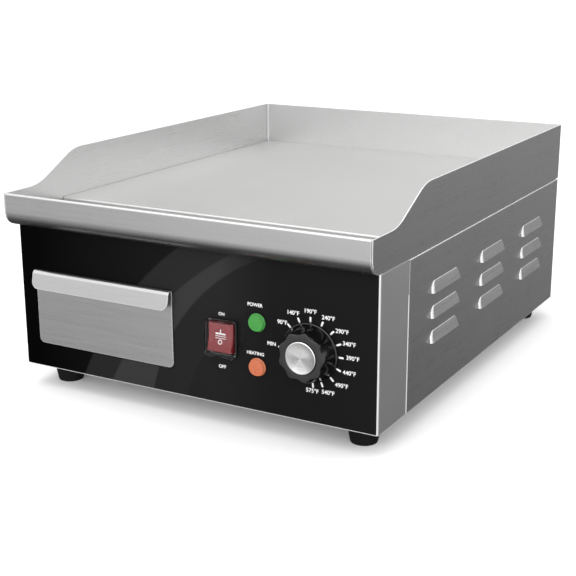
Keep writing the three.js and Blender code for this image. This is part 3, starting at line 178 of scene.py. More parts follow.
brushed_grain, grain_in, grain_out = new_group(
    "Brushed Grain",
    [("Vector", "NodeSocketVector", None), ("Stretch", "NodeSocketVector", (0.01, 1.0, 1.0)),
     ("Fineness", "NodeSocketFloat", 2600.0)],
    [("Grain", "NodeSocketFloat"), ("Drift", "NodeSocketFloat")],
)
where, fineness = grain_in.outputs["Vector"], grain_in.outputs["Fineness"]
squeezed = vector_maths(brushed_grain, "MULTIPLY", where, grain_in.outputs["Stretch"])
fine = noise(brushed_grain, squeezed, fineness, 3.0)
coarse = noise(brushed_grain, squeezed, times(brushed_grain, fineness, 0.17), 2.0)
mixed = plus(brushed_grain, times(brushed_grain, fine, 0.65), times(brushed_grain, coarse, 0.35))
drift = noise(brushed_grain, where, 9.0, 3.0)
brushed_grain.links.new(mixed, grain_out.inputs["Grain"])
brushed_grain.links.new(drift, grain_out.inputs["Drift"])

# %% [markdown]
# The Edge Finder marks a shape's sharp edges, where the finishes paint a highlight. The Bevel node
# looks at nearby faces and rounds the shading normal there, so comparing it with the true normal
# finds the edges of any shape. Curvature painted on vertices would also work, but it needs a much
# denser mesh.

# %% Edge and smudge groups
edge_finder, edge_in, edge_out = new_group(
    "Edge Finder",
    [("Width", "NodeSocketFloat", 0.0006), ("Sharpness", "NodeSocketFloat", 3.0)],
    [("Edge", "NodeSocketFloat")],
)
rounded = add(edge_finder, "ShaderNodeBevel", {"samples": 4}, Radius=edge_in.outputs["Width"])
facing = add(edge_finder, "ShaderNodeNewGeometry")
agree = vector_maths(edge_finder, "DOT_PRODUCT", rounded.outputs[0], facing.outputs["True Normal"])
differ = maths(edge_finder, "SUBTRACT", 1.0, agree, clamp=True)
strong = times(edge_finder, differ, edge_in.outputs["Sharpness"], clamp=True)
edge_finder.links.new(strong, edge_out.inputs["Edge"])

smudges, smudge_in, smudge_out = new_group(
    "Smudges",
    [("Vector", "NodeSocketVector", None), ("Size", "NodeSocketFloat", 14.0),
     ("Amount", "NodeSocketFloat", 0.5)],
    [("Smudge", "NodeSocketFloat")],
)
where, size = smudge_in.outputs["Vector"], smudge_in.outputs["Size"]
patches = ranged(smudges, noise(smudges, where, size, 5.0, Roughness=0.62), 0.42, 0.68)
smudges.links.new(times(smudges, patches, smudge_in.outputs["Amount"]),
                  smudge_out.inputs["Smudge"])
print("shader groups:", [g.name for g in bpy.data.node_groups])

# %% [markdown]
# ## Finishes
# Each finish is one material with a Principled shader. Numbers that are the same all over are
# typed on the shader's own sockets, and only what changes over the surface is linked. Brushed
# stainless is the main one: the grain nudges its colour, roughness and height, and a highlight is
# painted along its edges.

# %% Brushed stainless


def grey(value):
    return (value, value, value)


def drive(tree, shader, **values):
    """Links values to a shader's sockets, or types them on it."""
    for key, value in values.items():
        put(tree, shader.inputs[key.replace("_", " ")], value)


def new_finish(name, metallic=0.0, roughness=0.5, colour=grey(0.5), **sockets):
    material = bpy.data.materials.new(name)
    material.use_nodes = True
    shader = material.node_tree.nodes["Principled BSDF"]
    drive(material.node_tree, shader, Metallic=metallic, Roughness=roughness,
          Base_Color=(*colour, 1), **sockets)
    return material, material.node_tree, shader


def use_group(tree, group, **inputs):
    node = tree.nodes.new("ShaderNodeGroup")
    node.node_tree = group
    for key, value in inputs.items():
        put(tree, node.inputs[key], value)
    return node


def object_place(tree):
    return tree.nodes.new("ShaderNodeTexCoord").outputs["Object"]


def split(tree, vector):
    return add(tree, "ShaderNodeSeparateXYZ", None, Vector=vector).outputs


def colour_between(tree, share, first, second):
    mix = tree.nodes.new("ShaderNodeMix")
    mix.data_type = "RGBA"
    tree.links.new(share, mix.inputs["Factor"])
    for socket, value in ((mix.inputs["A"], first), (mix.inputs["B"], second)):
        put(tree, socket, value if isinstance(value, bpy.types.NodeSocket) else (*value, 1))
    return mix.outputs["Result"]


def bumped(tree, shader, height, distance, strength=1.0):
    bump = add(tree, "ShaderNodeBump", None, Height=height, Distance=distance, Strength=strength)
    drive(tree, shader, Normal=bump.outputs["Normal"])


def border(tree, place, low, high, width):
    """1 in a border of this width inside a sheet's outline, seen along X, and 0 further in."""
    parts, near = split(tree, place), []
    for axis, first, last in (("Y", low.y, high.y), ("Z", low.z, high.z)):
        away = maths(tree, "ABSOLUTE", maths(tree, "SUBTRACT", parts[axis], (first + last) / 2))
        limit = (last - first) / 2 - width
        near.append(ranged(tree, away, limit - 0.0004, limit))
    return maths(tree, "MAXIMUM", *near)


def brushed(name, stretch, dark, light, rough=(0.24, 0.36), edge=0.8, outline=None,
            fineness=2600.0):
    """Brushed steel with a painted highlight along its edges; `edge` sets how strong it is. `outline`
    is a sheet's (low, high) box: when given, only edges near it get the painted highlight.
    """
    material, tree, shader = new_finish(name, metallic=1.0)
    place = object_place(tree)
    grain = use_group(tree, brushed_grain, Vector=place, Stretch=stretch, Fineness=fineness)
    smudge = use_group(tree, smudges, Vector=place, Size=11.0, Amount=0.35)
    edges = use_group(tree, edge_finder, Width=0.0009, Sharpness=5.0)
    streaks, drift = grain.outputs["Grain"], grain.outputs["Drift"]
    tone = plus(tree, times(tree, streaks, 0.7), times(tree, drift, 0.3))
    body = colour_between(tree, ranged(tree, tone, 0.35, 0.65), dark, light)
    # Painted highlight: near its edges the steel turns an almost white, non-metal colour, standing in
    # for the bright line that a rounded edge catches.
    painted_light = times(tree, edges.outputs["Edge"], edge)
    if outline:
        painted_light = times(tree, painted_light, border(tree, place, *outline, 2.5 * MM))
    gloss = ranged(tree, streaks, 0.3, 0.7, *rough)
    drive(tree, shader, Base_Color=colour_between(tree, painted_light, body, grey(0.97)),
          Metallic=maths(tree, "SUBTRACT", 1.0, painted_light, clamp=True),
          Roughness=plus(tree, gloss, times(tree, smudge.outputs["Smudge"], 0.07)))
    bumped(tree, shader, streaks, 0.00002, 0.3)
    return material


ALONG_X, ALONG_Y = (0.012, 1.0, 1.0), (1.0, 0.012, 1.0)
side_steel = brushed("side_steel", ALONG_Y, grey(0.62), grey(0.66))
front_steel = brushed("front_steel", ALONG_X, grey(0.57), grey(0.61))
drawer_steel = brushed("drawer_steel", ALONG_X, grey(0.51), grey(0.56))
panel_steel = brushed("panel_steel", ALONG_Y, grey(0.62), grey(0.66),
                      outline=(side_low, side_high))
# Painted light: the box's steel is a lighter copy of the front steel, so the box's narrow corner
# strips come out bright.
box_steel = brushed("box_steel", ALONG_X, grey(0.74), grey(0.78), rough=(0.36, 0.46))
plate_steel = brushed("plate_steel", ALONG_Y, (0.53, 0.53, 0.525), (0.57, 0.57, 0.565),
                      rough=(0.38, 0.46), edge=0.45, fineness=1500.0)
zinc_steel = brushed("zinc_steel", ALONG_Y, (0.48, 0.49, 0.5), (0.57, 0.58, 0.58),
                     rough=(0.35, 0.5))

# %% [markdown]
# The control panel is a glossy black overlay with broad grey sweeps printed under its surface. A
# sweep is the ring between two large circles, so distance from a far centre point gives it
# directly. Bands could be drawn as geometry, but printing has no thickness, so a mask in the
# colour is truer.

# %% Black overlay with its printed sweeps


def inside(tree, across, up, centre, radius, soft=0.0008):
    """1 inside a circle on the panel and 0 outside it."""
    dx = maths(tree, "SUBTRACT", across, centre[0])
    dz = maths(tree, "SUBTRACT", up, centre[1])
    away = maths(tree, "SQRT", plus(tree, times(tree, dx, dx), times(tree, dz, dz)))
    return ranged(tree, away, radius - soft, radius + soft, 1.0, 0.0)


panel_black, tree, shader = new_finish("panel_black", Specular_IOR_Level=0.035)
place = object_place(tree)
across, up = split(tree, place)["X"], split(tree, place)["Z"]
OUTER_CENTRE, INNER_CENTRE = (0.198, -0.122), (0.146, -0.020)
sweep_edges = [                                   # (step, centre, radius)
    (0.42, OUTER_CENTRE, 0.341), (0.58, OUTER_CENTRE, 0.313),
    (-0.68, INNER_CENTRE, 0.186), (-0.12, INNER_CENTRE, 0.152),
]
sweep = None
for level, middle, radius in sweep_edges:
    step = times(tree, level, inside(tree, across, up, middle, radius))
    sweep = step if sweep is None else plus(tree, sweep, step)
sweep = times(tree, sweep, ranged(tree, across, 0.035, 0.085, 1.0, 0.0))
# Painted reflection: the black under the printed sweeps is painted lighter towards the right.
painted_reflection_share = ranged(tree, across, -0.16, 0.02)
black_with_painted_reflection = colour_between(tree, painted_reflection_share, (0.0003, 0.0003, 0.0004), (0.0075, 0.0075, 0.0078))
sweeps_over_painted_reflection = colour_between(tree, sweep, black_with_painted_reflection, (0.028, 0.028, 0.029))
marks = use_group(tree, smudges, Vector=place, Size=22.0, Amount=0.4)
dulled = plus(tree, 0.07, times(tree, marks.outputs["Smudge"], 0.14))
drive(tree, shader, Base_Color=sweeps_over_painted_reflection, Roughness=dulled)

# %% [markdown]
# Plastics, rubber, print and lamp lenses are quieter. Each still gets a fine texture of its own,
# since a moulded surface is never quite even: a slight orange peel on gloss, a stipple on satin,
# and a grainy, dusty skin on rubber.

# %% Plastics, rubber, print and lenses


def moulded(name, dark, light, rough, scale, depth, edge_highlight_colour=None, **sockets):
    material, tree, shader = new_finish(name, **sockets)
    place = object_place(tree)
    peel = noise(tree, place, scale, 3.0)
    smudge = use_group(tree, smudges, Vector=place, Size=60.0, Amount=0.5)
    tone = colour_between(tree, ranged(tree, peel, 0.3, 0.7), dark, light)
    # Painted highlight: with an edge colour given, the moulding turns lighter along its edges.
    if edge_highlight_colour:
        edges = use_group(tree, edge_finder, Width=0.0005, Sharpness=2.0)
        tone = colour_between(tree, times(tree, edges.outputs["Edge"], 0.5), tone, edge_highlight_colour)
    dulled = plus(tree, rough, times(tree, smudge.outputs["Smudge"], 0.15))
    drive(tree, shader, Base_Color=tone, Roughness=dulled)
    bumped(tree, shader, peel, depth)
    return material


gloss_black = moulded("gloss_black", grey(0.006), grey(0.012), 0.12, 900, 0.00001,
                      edge_highlight_colour=grey(0.05))
satin_black = moulded("satin_black", grey(0.02), grey(0.03), 0.38, 2600, 0.00003,
                      edge_highlight_colour=grey(0.09))
foot_rubber = moulded("foot_rubber", grey(0.003), grey(0.007), 0.6, 1800, 0.00006,
                      edge_highlight_colour=grey(0.02), Specular_IOR_Level=0.2)
rocker_red = moulded("rocker_red", (0.17, 0.006, 0.011), (0.21, 0.011, 0.018), 0.16, 700, 0.00001,
                     Coat_Weight=0.3)
print_white = moulded("print_white", grey(0.78), grey(0.9), 0.35, 2000, 0.000005)
lens_green = moulded("lens_green", (0.03, 0.21, 0.03), (0.045, 0.27, 0.045), 0.25, 1200, 0.00001,
                     edge_highlight_colour=(0.1, 0.42, 0.12))
lens_orange = moulded("lens_orange", (0.42, 0.105, 0.042), (0.5, 0.13, 0.055), 0.25, 1200, 0.00001,
                      edge_highlight_colour=(0.9, 0.42, 0.2))
mineral_fibre = moulded("mineral_fibre", (0.5, 0.47, 0.38), (0.7, 0.66, 0.55), 0.9, 500, 0.0006)
sleeve_glass = moulded("sleeve_glass", (0.45, 0.42, 0.34), (0.6, 0.57, 0.48), 0.7, 3000, 0.0001)
porcelain = moulded("porcelain", (0.72, 0.69, 0.62), (0.8, 0.77, 0.7), 0.4, 400, 0.00004)
sheath = moulded("sheath", (0.05, 0.052, 0.04), (0.13, 0.12, 0.09), 0.5, 300, 0.00005, metallic=1.0)
copper = moulded("copper", (0.6, 0.27, 0.15), (0.75, 0.38, 0.22), 0.3, 600, 0.00002, metallic=1.0)

clear_cover, tree, shader = new_finish("clear_cover", roughness=0.06, colour=grey(0.95),
                                       Transmission_Weight=1.0, IOR=1.15)
place = object_place(tree)
haze = use_group(tree, smudges, Vector=place, Size=90.0, Amount=0.1)
drive(tree, shader, Roughness=plus(tree, 0.03, haze.outputs["Smudge"]))

# %% [markdown]
# ## Folding sheet the way a brake press does
# Most of this object is bent sheet. Its middle line is drawn with straight runs and bends, then
# made wide by extruding it, and a Solidify modifier gives it the metal's thickness. Drawing both
# faces by hand would also work, but then every bend would need two radii kept in step.

# %% The folding helper


def bevelled(bm, geom, radius, segments, affect="EDGES"):
    bmesh.ops.bevel(bm, geom=geom, offset=radius, segments=segments, profile=0.5, affect=affect,
                    material=-1)


def moved(bm, vec, verts=None):
    bmesh.ops.translate(bm, verts=verts or bm.verts[:], vec=vec)


def points_of(made):
    return [g for g in made["geom"] if isinstance(g, bmesh.types.BMVert)]


def border_edges(bm, test):
    return [e for e in bm.edges if e.is_boundary and all(test(v.co) for v in e.verts)]


def scaled(bm, vec):
    bmesh.ops.scale(bm, verts=bm.verts[:], vec=vec)


def quarter_turn(bm, axis):
    turn = Matrix.Rotation(math.pi / 2, 3, axis)
    bmesh.ops.rotate(bm, verts=bm.verts[:], cent=(0, 0, 0), matrix=turn)


def centred(node, y):
    """The middle of a node's box in x and z, at depth y."""
    low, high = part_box(node)
    return Vector(((low.x + high.x) / 2, y, (low.z + high.z) / 2))


class Fold:
    """A sheet's middle line, drawn from its tip by runs and bends about one hinge direction."""

    def __init__(self, start, heading, hinge):
        self.bm = bmesh.new()
        self.tip = self.bm.verts.new(start)
        self.heading = Vector(heading).normalized()
        self.hinge = Vector(hinge).normalized()

    def run(self, length, steps=1):
        for _ in range(steps):
            made = bmesh.ops.extrude_vert_indiv(self.bm, verts=[self.tip])["verts"]
            moved(self.bm, self.heading * length / steps, made)
            self.tip = made[0]
        return self

    def bend(self, radius, degrees, steps=6):
        inward = self.hinge.cross(self.heading) * math.copysign(radius, degrees)
        turn = math.radians(degrees)
        made = bmesh.ops.spin(self.bm, geom=[self.tip], cent=self.tip.co + inward, axis=self.hinge,
                              angle=turn, steps=steps, use_duplicate=False)
        self.tip = made["geom_last"][0]
        self.heading.rotate(Quaternion(self.hinge, turn))
        return self

    def widen(self, vector):
        bent_edge(self.bm, self.bm.edges[:], vector)
        return self.bm


def bent_edge(bm, chosen, vector):
    """Folds a narrow flange back from the sheet's chosen border edges."""
    moved(bm, vector, points_of(bmesh.ops.extrude_edge_only(bm, edges=chosen)))


body_of = {n: b for b, names in frame["record"]["behaviour"]["bodies"].items() for n in names}


def baked(name, bm):
    mesh = bpy.data.meshes.new(name)
    bm.to_mesh(mesh)
    bm.free()
    return mesh


def shown(name, bm, material, node, stands_for=True):
    """Puts a finished bmesh in the scene, riding with a CAD node that it can replace."""
    mesh = baked(name, bm)
    mesh.materials.append(material)
    for face in mesh.polygons:
        face.use_smooth = True
    piece = placed(name, mesh)
    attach(piece, body_of[node])
    if stands_for:
        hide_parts(node)
    return piece


def thicken(piece, thickness, offset=0.0):
    wall = piece.modifiers.new("sheet", "SOLIDIFY")
    wall.thickness = thickness
    wall.offset = offset
    wall.use_even_offset = True
    return piece


def soften(piece, width, segments=2, angle=40):
    edge = piece.modifiers.new("edges", "BEVEL")
    edge.width = width
    edge.segments = segments
    edge.limit_method = "ANGLE"
    edge.angle_limit = math.radians(angle)
    edge.harden_normals = False
    even = piece.modifiers.new("shading", "WEIGHTED_NORMAL")
    even.keep_sharp = True
    return piece


def welded(bm):
    bmesh.ops.remove_doubles(bm, verts=bm.verts[:], dist=TOUCH)
    bmesh.ops.recalc_face_normals(bm, faces=bm.faces[:])
    return bm


def evaluated_mesh(thing):
    bpy.context.view_layer.update()
    graph = bpy.context.evaluated_depsgraph_get()
    return bpy.data.meshes.new_from_object(thing.evaluated_get(graph))


def settle(piece):
    """Applies a piece's modifiers, so that what follows works on the finished metal."""
    result = evaluated_mesh(piece)
    piece.modifiers.clear()
    piece.data = result
    return piece


def combined(piece, tools, operation="DIFFERENCE"):
    """Cuts closed tool meshes out of a piece, or joins them to it."""
    for bm in tools:
        bmesh.ops.recalc_face_normals(bm, faces=bm.faces[:])
        tool = placed("tool", baked("tool", bm))
        step = piece.modifiers.new("step", "BOOLEAN")
        step.object = tool
        step.operation = operation
        step.solver = "EXACT"
        settle(piece)
        bpy.data.objects.remove(tool)
    for face in piece.data.polygons:
        face.use_smooth = True
    return piece


def block(low, high):
    """A closed box between two corners."""
    bm = bmesh.new()
    low, high = Vector(low), Vector(high)
    bmesh.ops.create_cube(bm, size=1.0)
    scaled(bm, high - low)
    moved(bm, (low + high) / 2)
    return bm


# %% [markdown]
# ## Splash guard
# On the real griddle one strip is bent round both rear corners and its front ends are cut in a
# soft S. Here the strip is folded in plan, raised, and the top edge is then lowered along the S.
# The lower front corner follows the fascia's rolled lip in the same way.

# %% Splash guard
SHEET = 1.2 * MM
half_tray = tray_high.x - SHEET / 2
rear_line = tray_high.y - SHEET / 2
LIP = 13.6 * MM                                    # outside radius of the fascia's rolled lip
climb_start = panel_y + 17 * MM
SWEEP = 50 * MM
SLOPE = math.radians(27)
rise = tray_high.z - fascia_top
ramp = (rise - 2 * SWEEP * (1 - math.cos(SLOPE))) / math.sin(SLOPE)
climb_length = 2 * SWEEP * math.sin(SLOPE) + ramp * math.cos(SLOPE)


def guard_top(y):
    along = min(max(y - climb_start, 0.0), climb_length)
    left = climb_length - along
    reach = SWEEP * math.sin(SLOPE)
    if along <= reach:
        return fascia_top + SWEEP - math.sqrt(SWEEP**2 - along**2)
    if left <= reach:
        return tray_high.z - SWEEP + math.sqrt(SWEEP**2 - left**2)
    return fascia_top + SWEEP * (1 - math.cos(SLOPE)) + (along - reach) * math.tan(SLOPE)


def guard_foot(y):
    short = tray_low.y + LIP - y
    if short <= 0:
        return tray_low.z
    return tray_low.z + LIP - math.sqrt(max(LIP**2 - short**2, 0.0))


CORNER = 2.4 * MM
front_run = climb_start - tray_low.y - LIP
back_run = rear_line - CORNER - climb_start - climb_length
guard = Fold((half_tray, tray_low.y, tray_low.z), Y, Z)
guard.run(LIP, 12).run(front_run, 2).run(climb_length, 36).run(back_run)
guard.bend(CORNER, 90).run(2 * (half_tray - CORNER)).bend(CORNER, 90)
guard.run(back_run).run(climb_length, 36).run(front_run, 2).run(LIP, 12)
guard_mesh = guard.widen(Z * (tray_high.z - tray_low.z))
middle_height = (tray_low.z + tray_high.z) / 2
for vert in guard_mesh.verts:
    vert.co.z = guard_top(vert.co.y) if vert.co.z > middle_height else guard_foot(vert.co.y)
splash = shown("splash_guard_sheet", welded(guard_mesh), side_steel, "splash_guard")
soften(thicken(splash, SHEET), 0.35 * MM, 3, 60)
print("splash guard climbs over", round(climb_length * 1000, 1), "mm")

# %% [markdown]
# ## Front gutter
# One sheet makes the rolled lower lip, the tall fascia, the folded top hem, the inner wall and the
# trough that catches grease in front of the plate. Its drain is a punched hole with a flanged
# spout.

# %% Front gutter
HEM = 3.6 * MM
FLOOR_CORNER = 10 * MM                            # large enough to stay inside the rolled lip
spout_low, spout_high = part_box("drain_spout")
floor_top = spout_high.z - 1.1 * MM
roll = LIP - SHEET / 2
hem_bend = (HEM - SHEET) / 2
LIP_FLANGE, DRAIN_BORE = 12 * MM, 10.3 * MM
flange_end = panel_y + LIP_FLANGE
back_edge = gutter_high.y - SHEET / 2
gutter = Fold((gutter_low.x, flange_end, tray_low.z + SHEET / 2), -Y, -X)
gutter.run(flange_end - tray_low.y - LIP).bend(roll, 90, 12)
gutter.run(fascia_top - SHEET / 2 - hem_bend - tray_low.z - LIP).bend(hem_bend, 180, 10)
inner_drop = fascia_top - SHEET / 2 - hem_bend - (floor_top - SHEET / 2 + FLOOR_CORNER)
gutter.run(inner_drop).bend(FLOOR_CORNER, -90, 10)
gutter.run(back_edge - gutter.tip.co.y)
gutter_mesh = welded(gutter.widen(X * (gutter_high.x - gutter_low.x)))
gutter_sheet = thicken(shown("front_gutter_sheet", gutter_mesh, front_steel, "front_gutter"), SHEET)
drain_middle = (spout_low + spout_high) / 2
punch = bmesh.new()
bmesh.ops.create_cone(punch, cap_ends=True, segments=48, radius1=DRAIN_BORE, radius2=DRAIN_BORE,
                      depth=20 * MM)
moved(punch, (drain_middle.x, drain_middle.y, floor_top))
combined(settle(gutter_sheet), [punch])
soften(gutter_sheet, 0.3 * MM, 2, 60)
print("trough floor at z", round(floor_top, 4))

# %% [markdown]
# ## Griddle plate
# A thick ground steel slab. A cube with its upper edges rounded is enough, since the plate really
# is a plain slab; its studs underneath are hidden, and this slab leaves them out.

# %% Griddle plate
STUD, PLATE_ROUND = 15.5 * MM, 1.8 * MM
slab_low = Vector((plate_low.x, plate_low.y, plate_low.z + STUD))
slab = block(slab_low, plate_high)
top_edges = [e for e in slab.edges if all(v.co.z > plate_high.z - 1e-5 for v in e.verts)]
bevelled(slab, top_edges, PLATE_ROUND, 5)
plate = shown("griddle_plate_slab", welded(slab), plate_steel, "griddle_plate")
soften(plate, 0.4 * MM, 2, 50)

# %% [markdown]
# ## Control box
# The front of the cabinet is one sheet bent round both corners, so a narrow strip of bare steel
# shows on each side of the black panel. It is folded in plan from flange to flange, and only then
# pierced.

# %% Control box and its openings
BODY_SHEET = 1.0 * MM
half_body = cabinet_high.x - BODY_SHEET / 2
seam_line = cabinet_high.y - BODY_SHEET / 2
front_line = cabinet_low.y + BODY_SHEET / 2
CORNER_BEND, SEAM_BEND, FLANGE = 1.9 * MM, 0.8 * MM, 13.5 * MM
shell = Fold((half_body - FLANGE, seam_line, cabinet_low.z), X, Z)
depth_run = seam_line - front_line - SEAM_BEND - CORNER_BEND
shell.run(FLANGE - SEAM_BEND).bend(SEAM_BEND, -90, 4).run(depth_run).bend(CORNER_BEND, -90, 8)
shell.run(2 * (half_body - CORNER_BEND))
shell.bend(CORNER_BEND, -90, 8).run(depth_run).bend(SEAM_BEND, -90, 4).run(FLANGE - SEAM_BEND)
box_mesh = welded(shell.widen(Z * (cabinet_high.z - cabinet_low.z)))
front_box = shown("control_box_sheet", box_mesh, box_steel, "control_box")
settle(thicken(front_box, BODY_SHEET))
flange_back = cabinet_low.y + 14 * MM
for low in (cabinet_low.z, cabinet_high.z - BODY_SHEET):
    ledge = block((-half_body, cabinet_low.y + 0.5 * MM, low),
                  (half_body, flange_back, low + BODY_SHEET))
    corners = [e for e in ledge.edges if abs(e.verts[0].co.z - e.verts[1].co.z) > 0.5 * BODY_SHEET
               and e.verts[0].co.y < front_line]
    bevelled(ledge, corners, CORNER_BEND, 5)
    combined(front_box, [ledge], "UNION")

tray_box_low, tray_box_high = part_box("drawer_tray")
switch_low, switch_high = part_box("switch_body")
knob_low, knob_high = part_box("temperature_knob")
dial = centred("temperature_knob", panel_y)
lamp_boxes = {name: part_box(name + "_lens") for name in ("power_lamp", "heating_lamp")}
switch_middle = centred("switch_body", panel_y)
LAMP_BORE, SHAFT_BORE, GLAND_BORE, SCREW_BORE = 5.3 * MM, 5 * MM, 8.3 * MM, 2.5 * MM


def bore(centre, radius, reach=8 * MM, segments=40):
    bm = bmesh.new()
    bmesh.ops.create_cone(bm, cap_ends=True, segments=segments, radius1=radius, radius2=radius,
                          depth=2 * reach)
    quarter_turn(bm, "X")
    moved(bm, centre)
    return bm


def panel_openings():
    """The holes that the overlay and the sheet behind it share."""
    slack = Vector((1.2 * MM, 0, 1.2 * MM))
    near, far = panel_y - 5 * MM, panel_y + 6 * MM
    drawer_hole = block(Vector((tray_box_low.x, near, tray_box_low.z)) - slack,
                        Vector((tray_box_high.x, far, tray_box_high.z)) + slack)
    neck = Vector((1.6 * MM, 0, 0.8 * MM))
    switch_hole = block(Vector((switch_low.x, near, switch_low.z)) + neck,
                        Vector((switch_high.x, far, switch_high.z)) - neck)
    lamps = [bore(centred(name + "_lens", panel_y), LAMP_BORE) for name in lamp_boxes]
    return [drawer_hole, switch_hole, *lamps, bore(dial, SHAFT_BORE)]


combined(front_box, panel_openings())
soften(front_box, 0.25 * MM, 2, 50)

# Painted shadow: the black film is carried up to the cabinet's top, past the overlay's own top, so
# that black fills the band under the gutter's lip where shade falls.
film_high_painted_shadow = Vector((overlay_high.x, overlay_high.y, cabinet_high.z))
overlay_sheet = shown("control_overlay_film", block(overlay_low, film_high_painted_shadow), panel_black,
                      "control_overlay")
soften(combined(overlay_sheet, panel_openings()), 0.12 * MM, 2, 50)
print("control box corners at x +-", round(cabinet_high.x, 4))

# %% [markdown]
# ## Louvres
# A press tool slits the sheet and pushes it outwards above the slit. The hood stands out furthest
# at the slit and slopes back to the sheet, and where its ends meet the sheet it draws a soft
# flare. Each hood is part of the sheet, so the sheet is first divided with bisect planes where the
# hood will be, split along the slit, and then its points are pushed out. A separate hood stuck on
# would show a seam.

# %% The press tool
HOOD_HALF, HOOD_CREST, HOOD_ROUND = 34.0 * MM, 27.5 * MM, 7.5 * MM
HOOD_HEIGHT, HOOD_REACH = 10 * MM, 3.3 * MM
FLARE_SHARE = 0.58
FLARE_RISE = 0.34
END_STEPS = (0.0, 0.2, 0.36, 0.48, 0.58, 0.61, 0.66, 0.72, 0.8, 0.9, 1.0)
RISE_STEPS = (0.0, 0.25, 0.5, 0.7, 0.82, 0.89, 0.94, 0.975, 1.0)


def end_height(t, up):
    """How far out the hood's end stands, from the flare's start (0) to the crest (1)."""
    flare = FLARE_RISE * (1 - up) ** 1.5
    if t <= FLARE_SHARE:
        return flare * (t / FLARE_SHARE) ** 2
    left = (1 - t) / (1 - FLARE_SHARE)
    return flare + (1 - flare) * math.sqrt(max(1 - left**2, 0.0))


def press(across, up):
    """Where a point of the sheet goes, as (distance across, reach), at a share `up` of the height."""
    inward = HOOD_ROUND * (1 - math.sqrt(1 - min(up, 1.0)**2))
    base, crest = HOOD_HALF - inward, HOOD_CREST - 0.8 * inward
    far = abs(across)
    out = HOOD_REACH * (0.9 * (1 - up) + 0.1 * math.sqrt(max(1 - up**14, 0.0)))
    if far <= HOOD_CREST:
        return across * crest / HOOD_CREST, out
    t = min(max((HOOD_HALF - far) / (HOOD_HALF - HOOD_CREST), 0.0), 1.0)
    return math.copysign(base - t * (base - crest), across), out * end_height(t, up)


def louvred_sheet(width, height, columns, rows):
    """A sheet in the YZ plane, facing +X, its corner at the origin, with hoods at (column, row)."""
    bm = bmesh.new()
    bmesh.ops.create_grid(bm, x_segments=1, y_segments=1, size=0.5)
    quarter_turn(bm, "Y")
    scaled(bm, (1, width, height))
    moved(bm, (0, width / 2, height / 2))
    ends = [HOOD_HALF - t * (HOOD_HALF - HOOD_CREST) for t in END_STEPS] + [HOOD_CREST / 3]
    lines = [(c + s * e, Y) for c in columns for e in ends for s in (-1, 1)]
    lines += [(r + v * HOOD_HEIGHT, Z) for r in rows for v in RISE_STEPS]
    for offset, normal in lines:
        bmesh.ops.bisect_plane(bm, geom=bm.verts[:] + bm.edges[:] + bm.faces[:], dist=1e-7,
                               plane_co=normal * offset, plane_no=normal)
    for column in columns:
        for row in rows:
            slit = [e for e in bm.edges if all(abs(v.co.z - row) < TOUCH
                    and abs(v.co.y - column) < HOOD_HALF + TOUCH for v in e.verts)]
            bmesh.ops.split_edges(bm, edges=slit)
            lifted = {v for f in bm.faces
                      if 0 < f.calc_center_median().z - row < HOOD_HEIGHT
                      and abs(f.calc_center_median().y - column) < HOOD_HALF for v in f.verts}
            for vert in lifted:
                up = min(max((vert.co.z - row) / HOOD_HEIGHT, 0.0), 1.0)
                across, out = press(vert.co.y - column, up)
                vert.co.y, vert.co.x = column + across, out
    return bm


ROW_PITCH, TOP_MARGIN, FRONT_MARGIN, REAR_MARGIN = 22.2 * MM, 40 * MM, 75 * MM, 83 * MM
TOP_FLANGE, TOP_ROUND, FRONT_ROUND = 19.5 * MM, 1.5 * MM, 1.0 * MM
side_width, side_height = side_high.y - side_low.y, side_high.z - side_low.z
first_row = side_height - TOP_MARGIN
side_rows = [first_row - n * ROW_PITCH for n in range(3)]
first_column, last_column = FRONT_MARGIN, side_width - REAR_MARGIN
side_columns = [first_column, (first_column + last_column) / 2, last_column]


def side_panel(name, node, hand):
    bm = louvred_sheet(side_width, side_height, side_columns, side_rows)
    top = border_edges(bm, lambda co: co.z > side_height - TOUCH)
    bent_edge(bm, top, X * -TOP_FLANGE)
    foot = border_edges(bm, lambda co: co.z < TOUCH)
    bent_edge(bm, foot, X * -FLANGE)
    lips = border_edges(bm, lambda co: co.y < TOUCH and co.x > -TOUCH)
    bent_edge(bm, lips, X * -FLANGE)
    for folded, radius in ((top, TOP_ROUND), (lips, FRONT_ROUND)):
        bevelled(bm, [e for e in folded if e.is_valid], radius, 4)
    inner_face = cabinet_high.x - BODY_SHEET / 2
    half_sheet = Vector((0, 1, 1)) * BODY_SHEET / 2
    scaled(bm, (1, 1 - BODY_SHEET / side_width, 1 - BODY_SHEET / side_height))
    moved(bm, Vector((inner_face, side_low.y, side_low.z)) + half_sheet)
    if hand < 0:
        scaled(bm, (-1, 1, 1))
        bmesh.ops.reverse_faces(bm, faces=bm.faces[:])
    soften(thicken(shown(name, bm, panel_steel, node), BODY_SHEET), 0.3 * MM, 3, 55)


side_panel("right_side_sheet", "right_side_panel", 1)
side_panel("left_side_sheet", "left_side_panel", -1)
print("side panels pressed with", len(side_columns) * len(side_rows), "louvres each")

# %% [markdown]
# ## Rear panel
# The rear sheet carries two rows of the same louvres, four screws and the cord gland. The same
# press tool is used, and the finished sheet is then turned to face backwards.

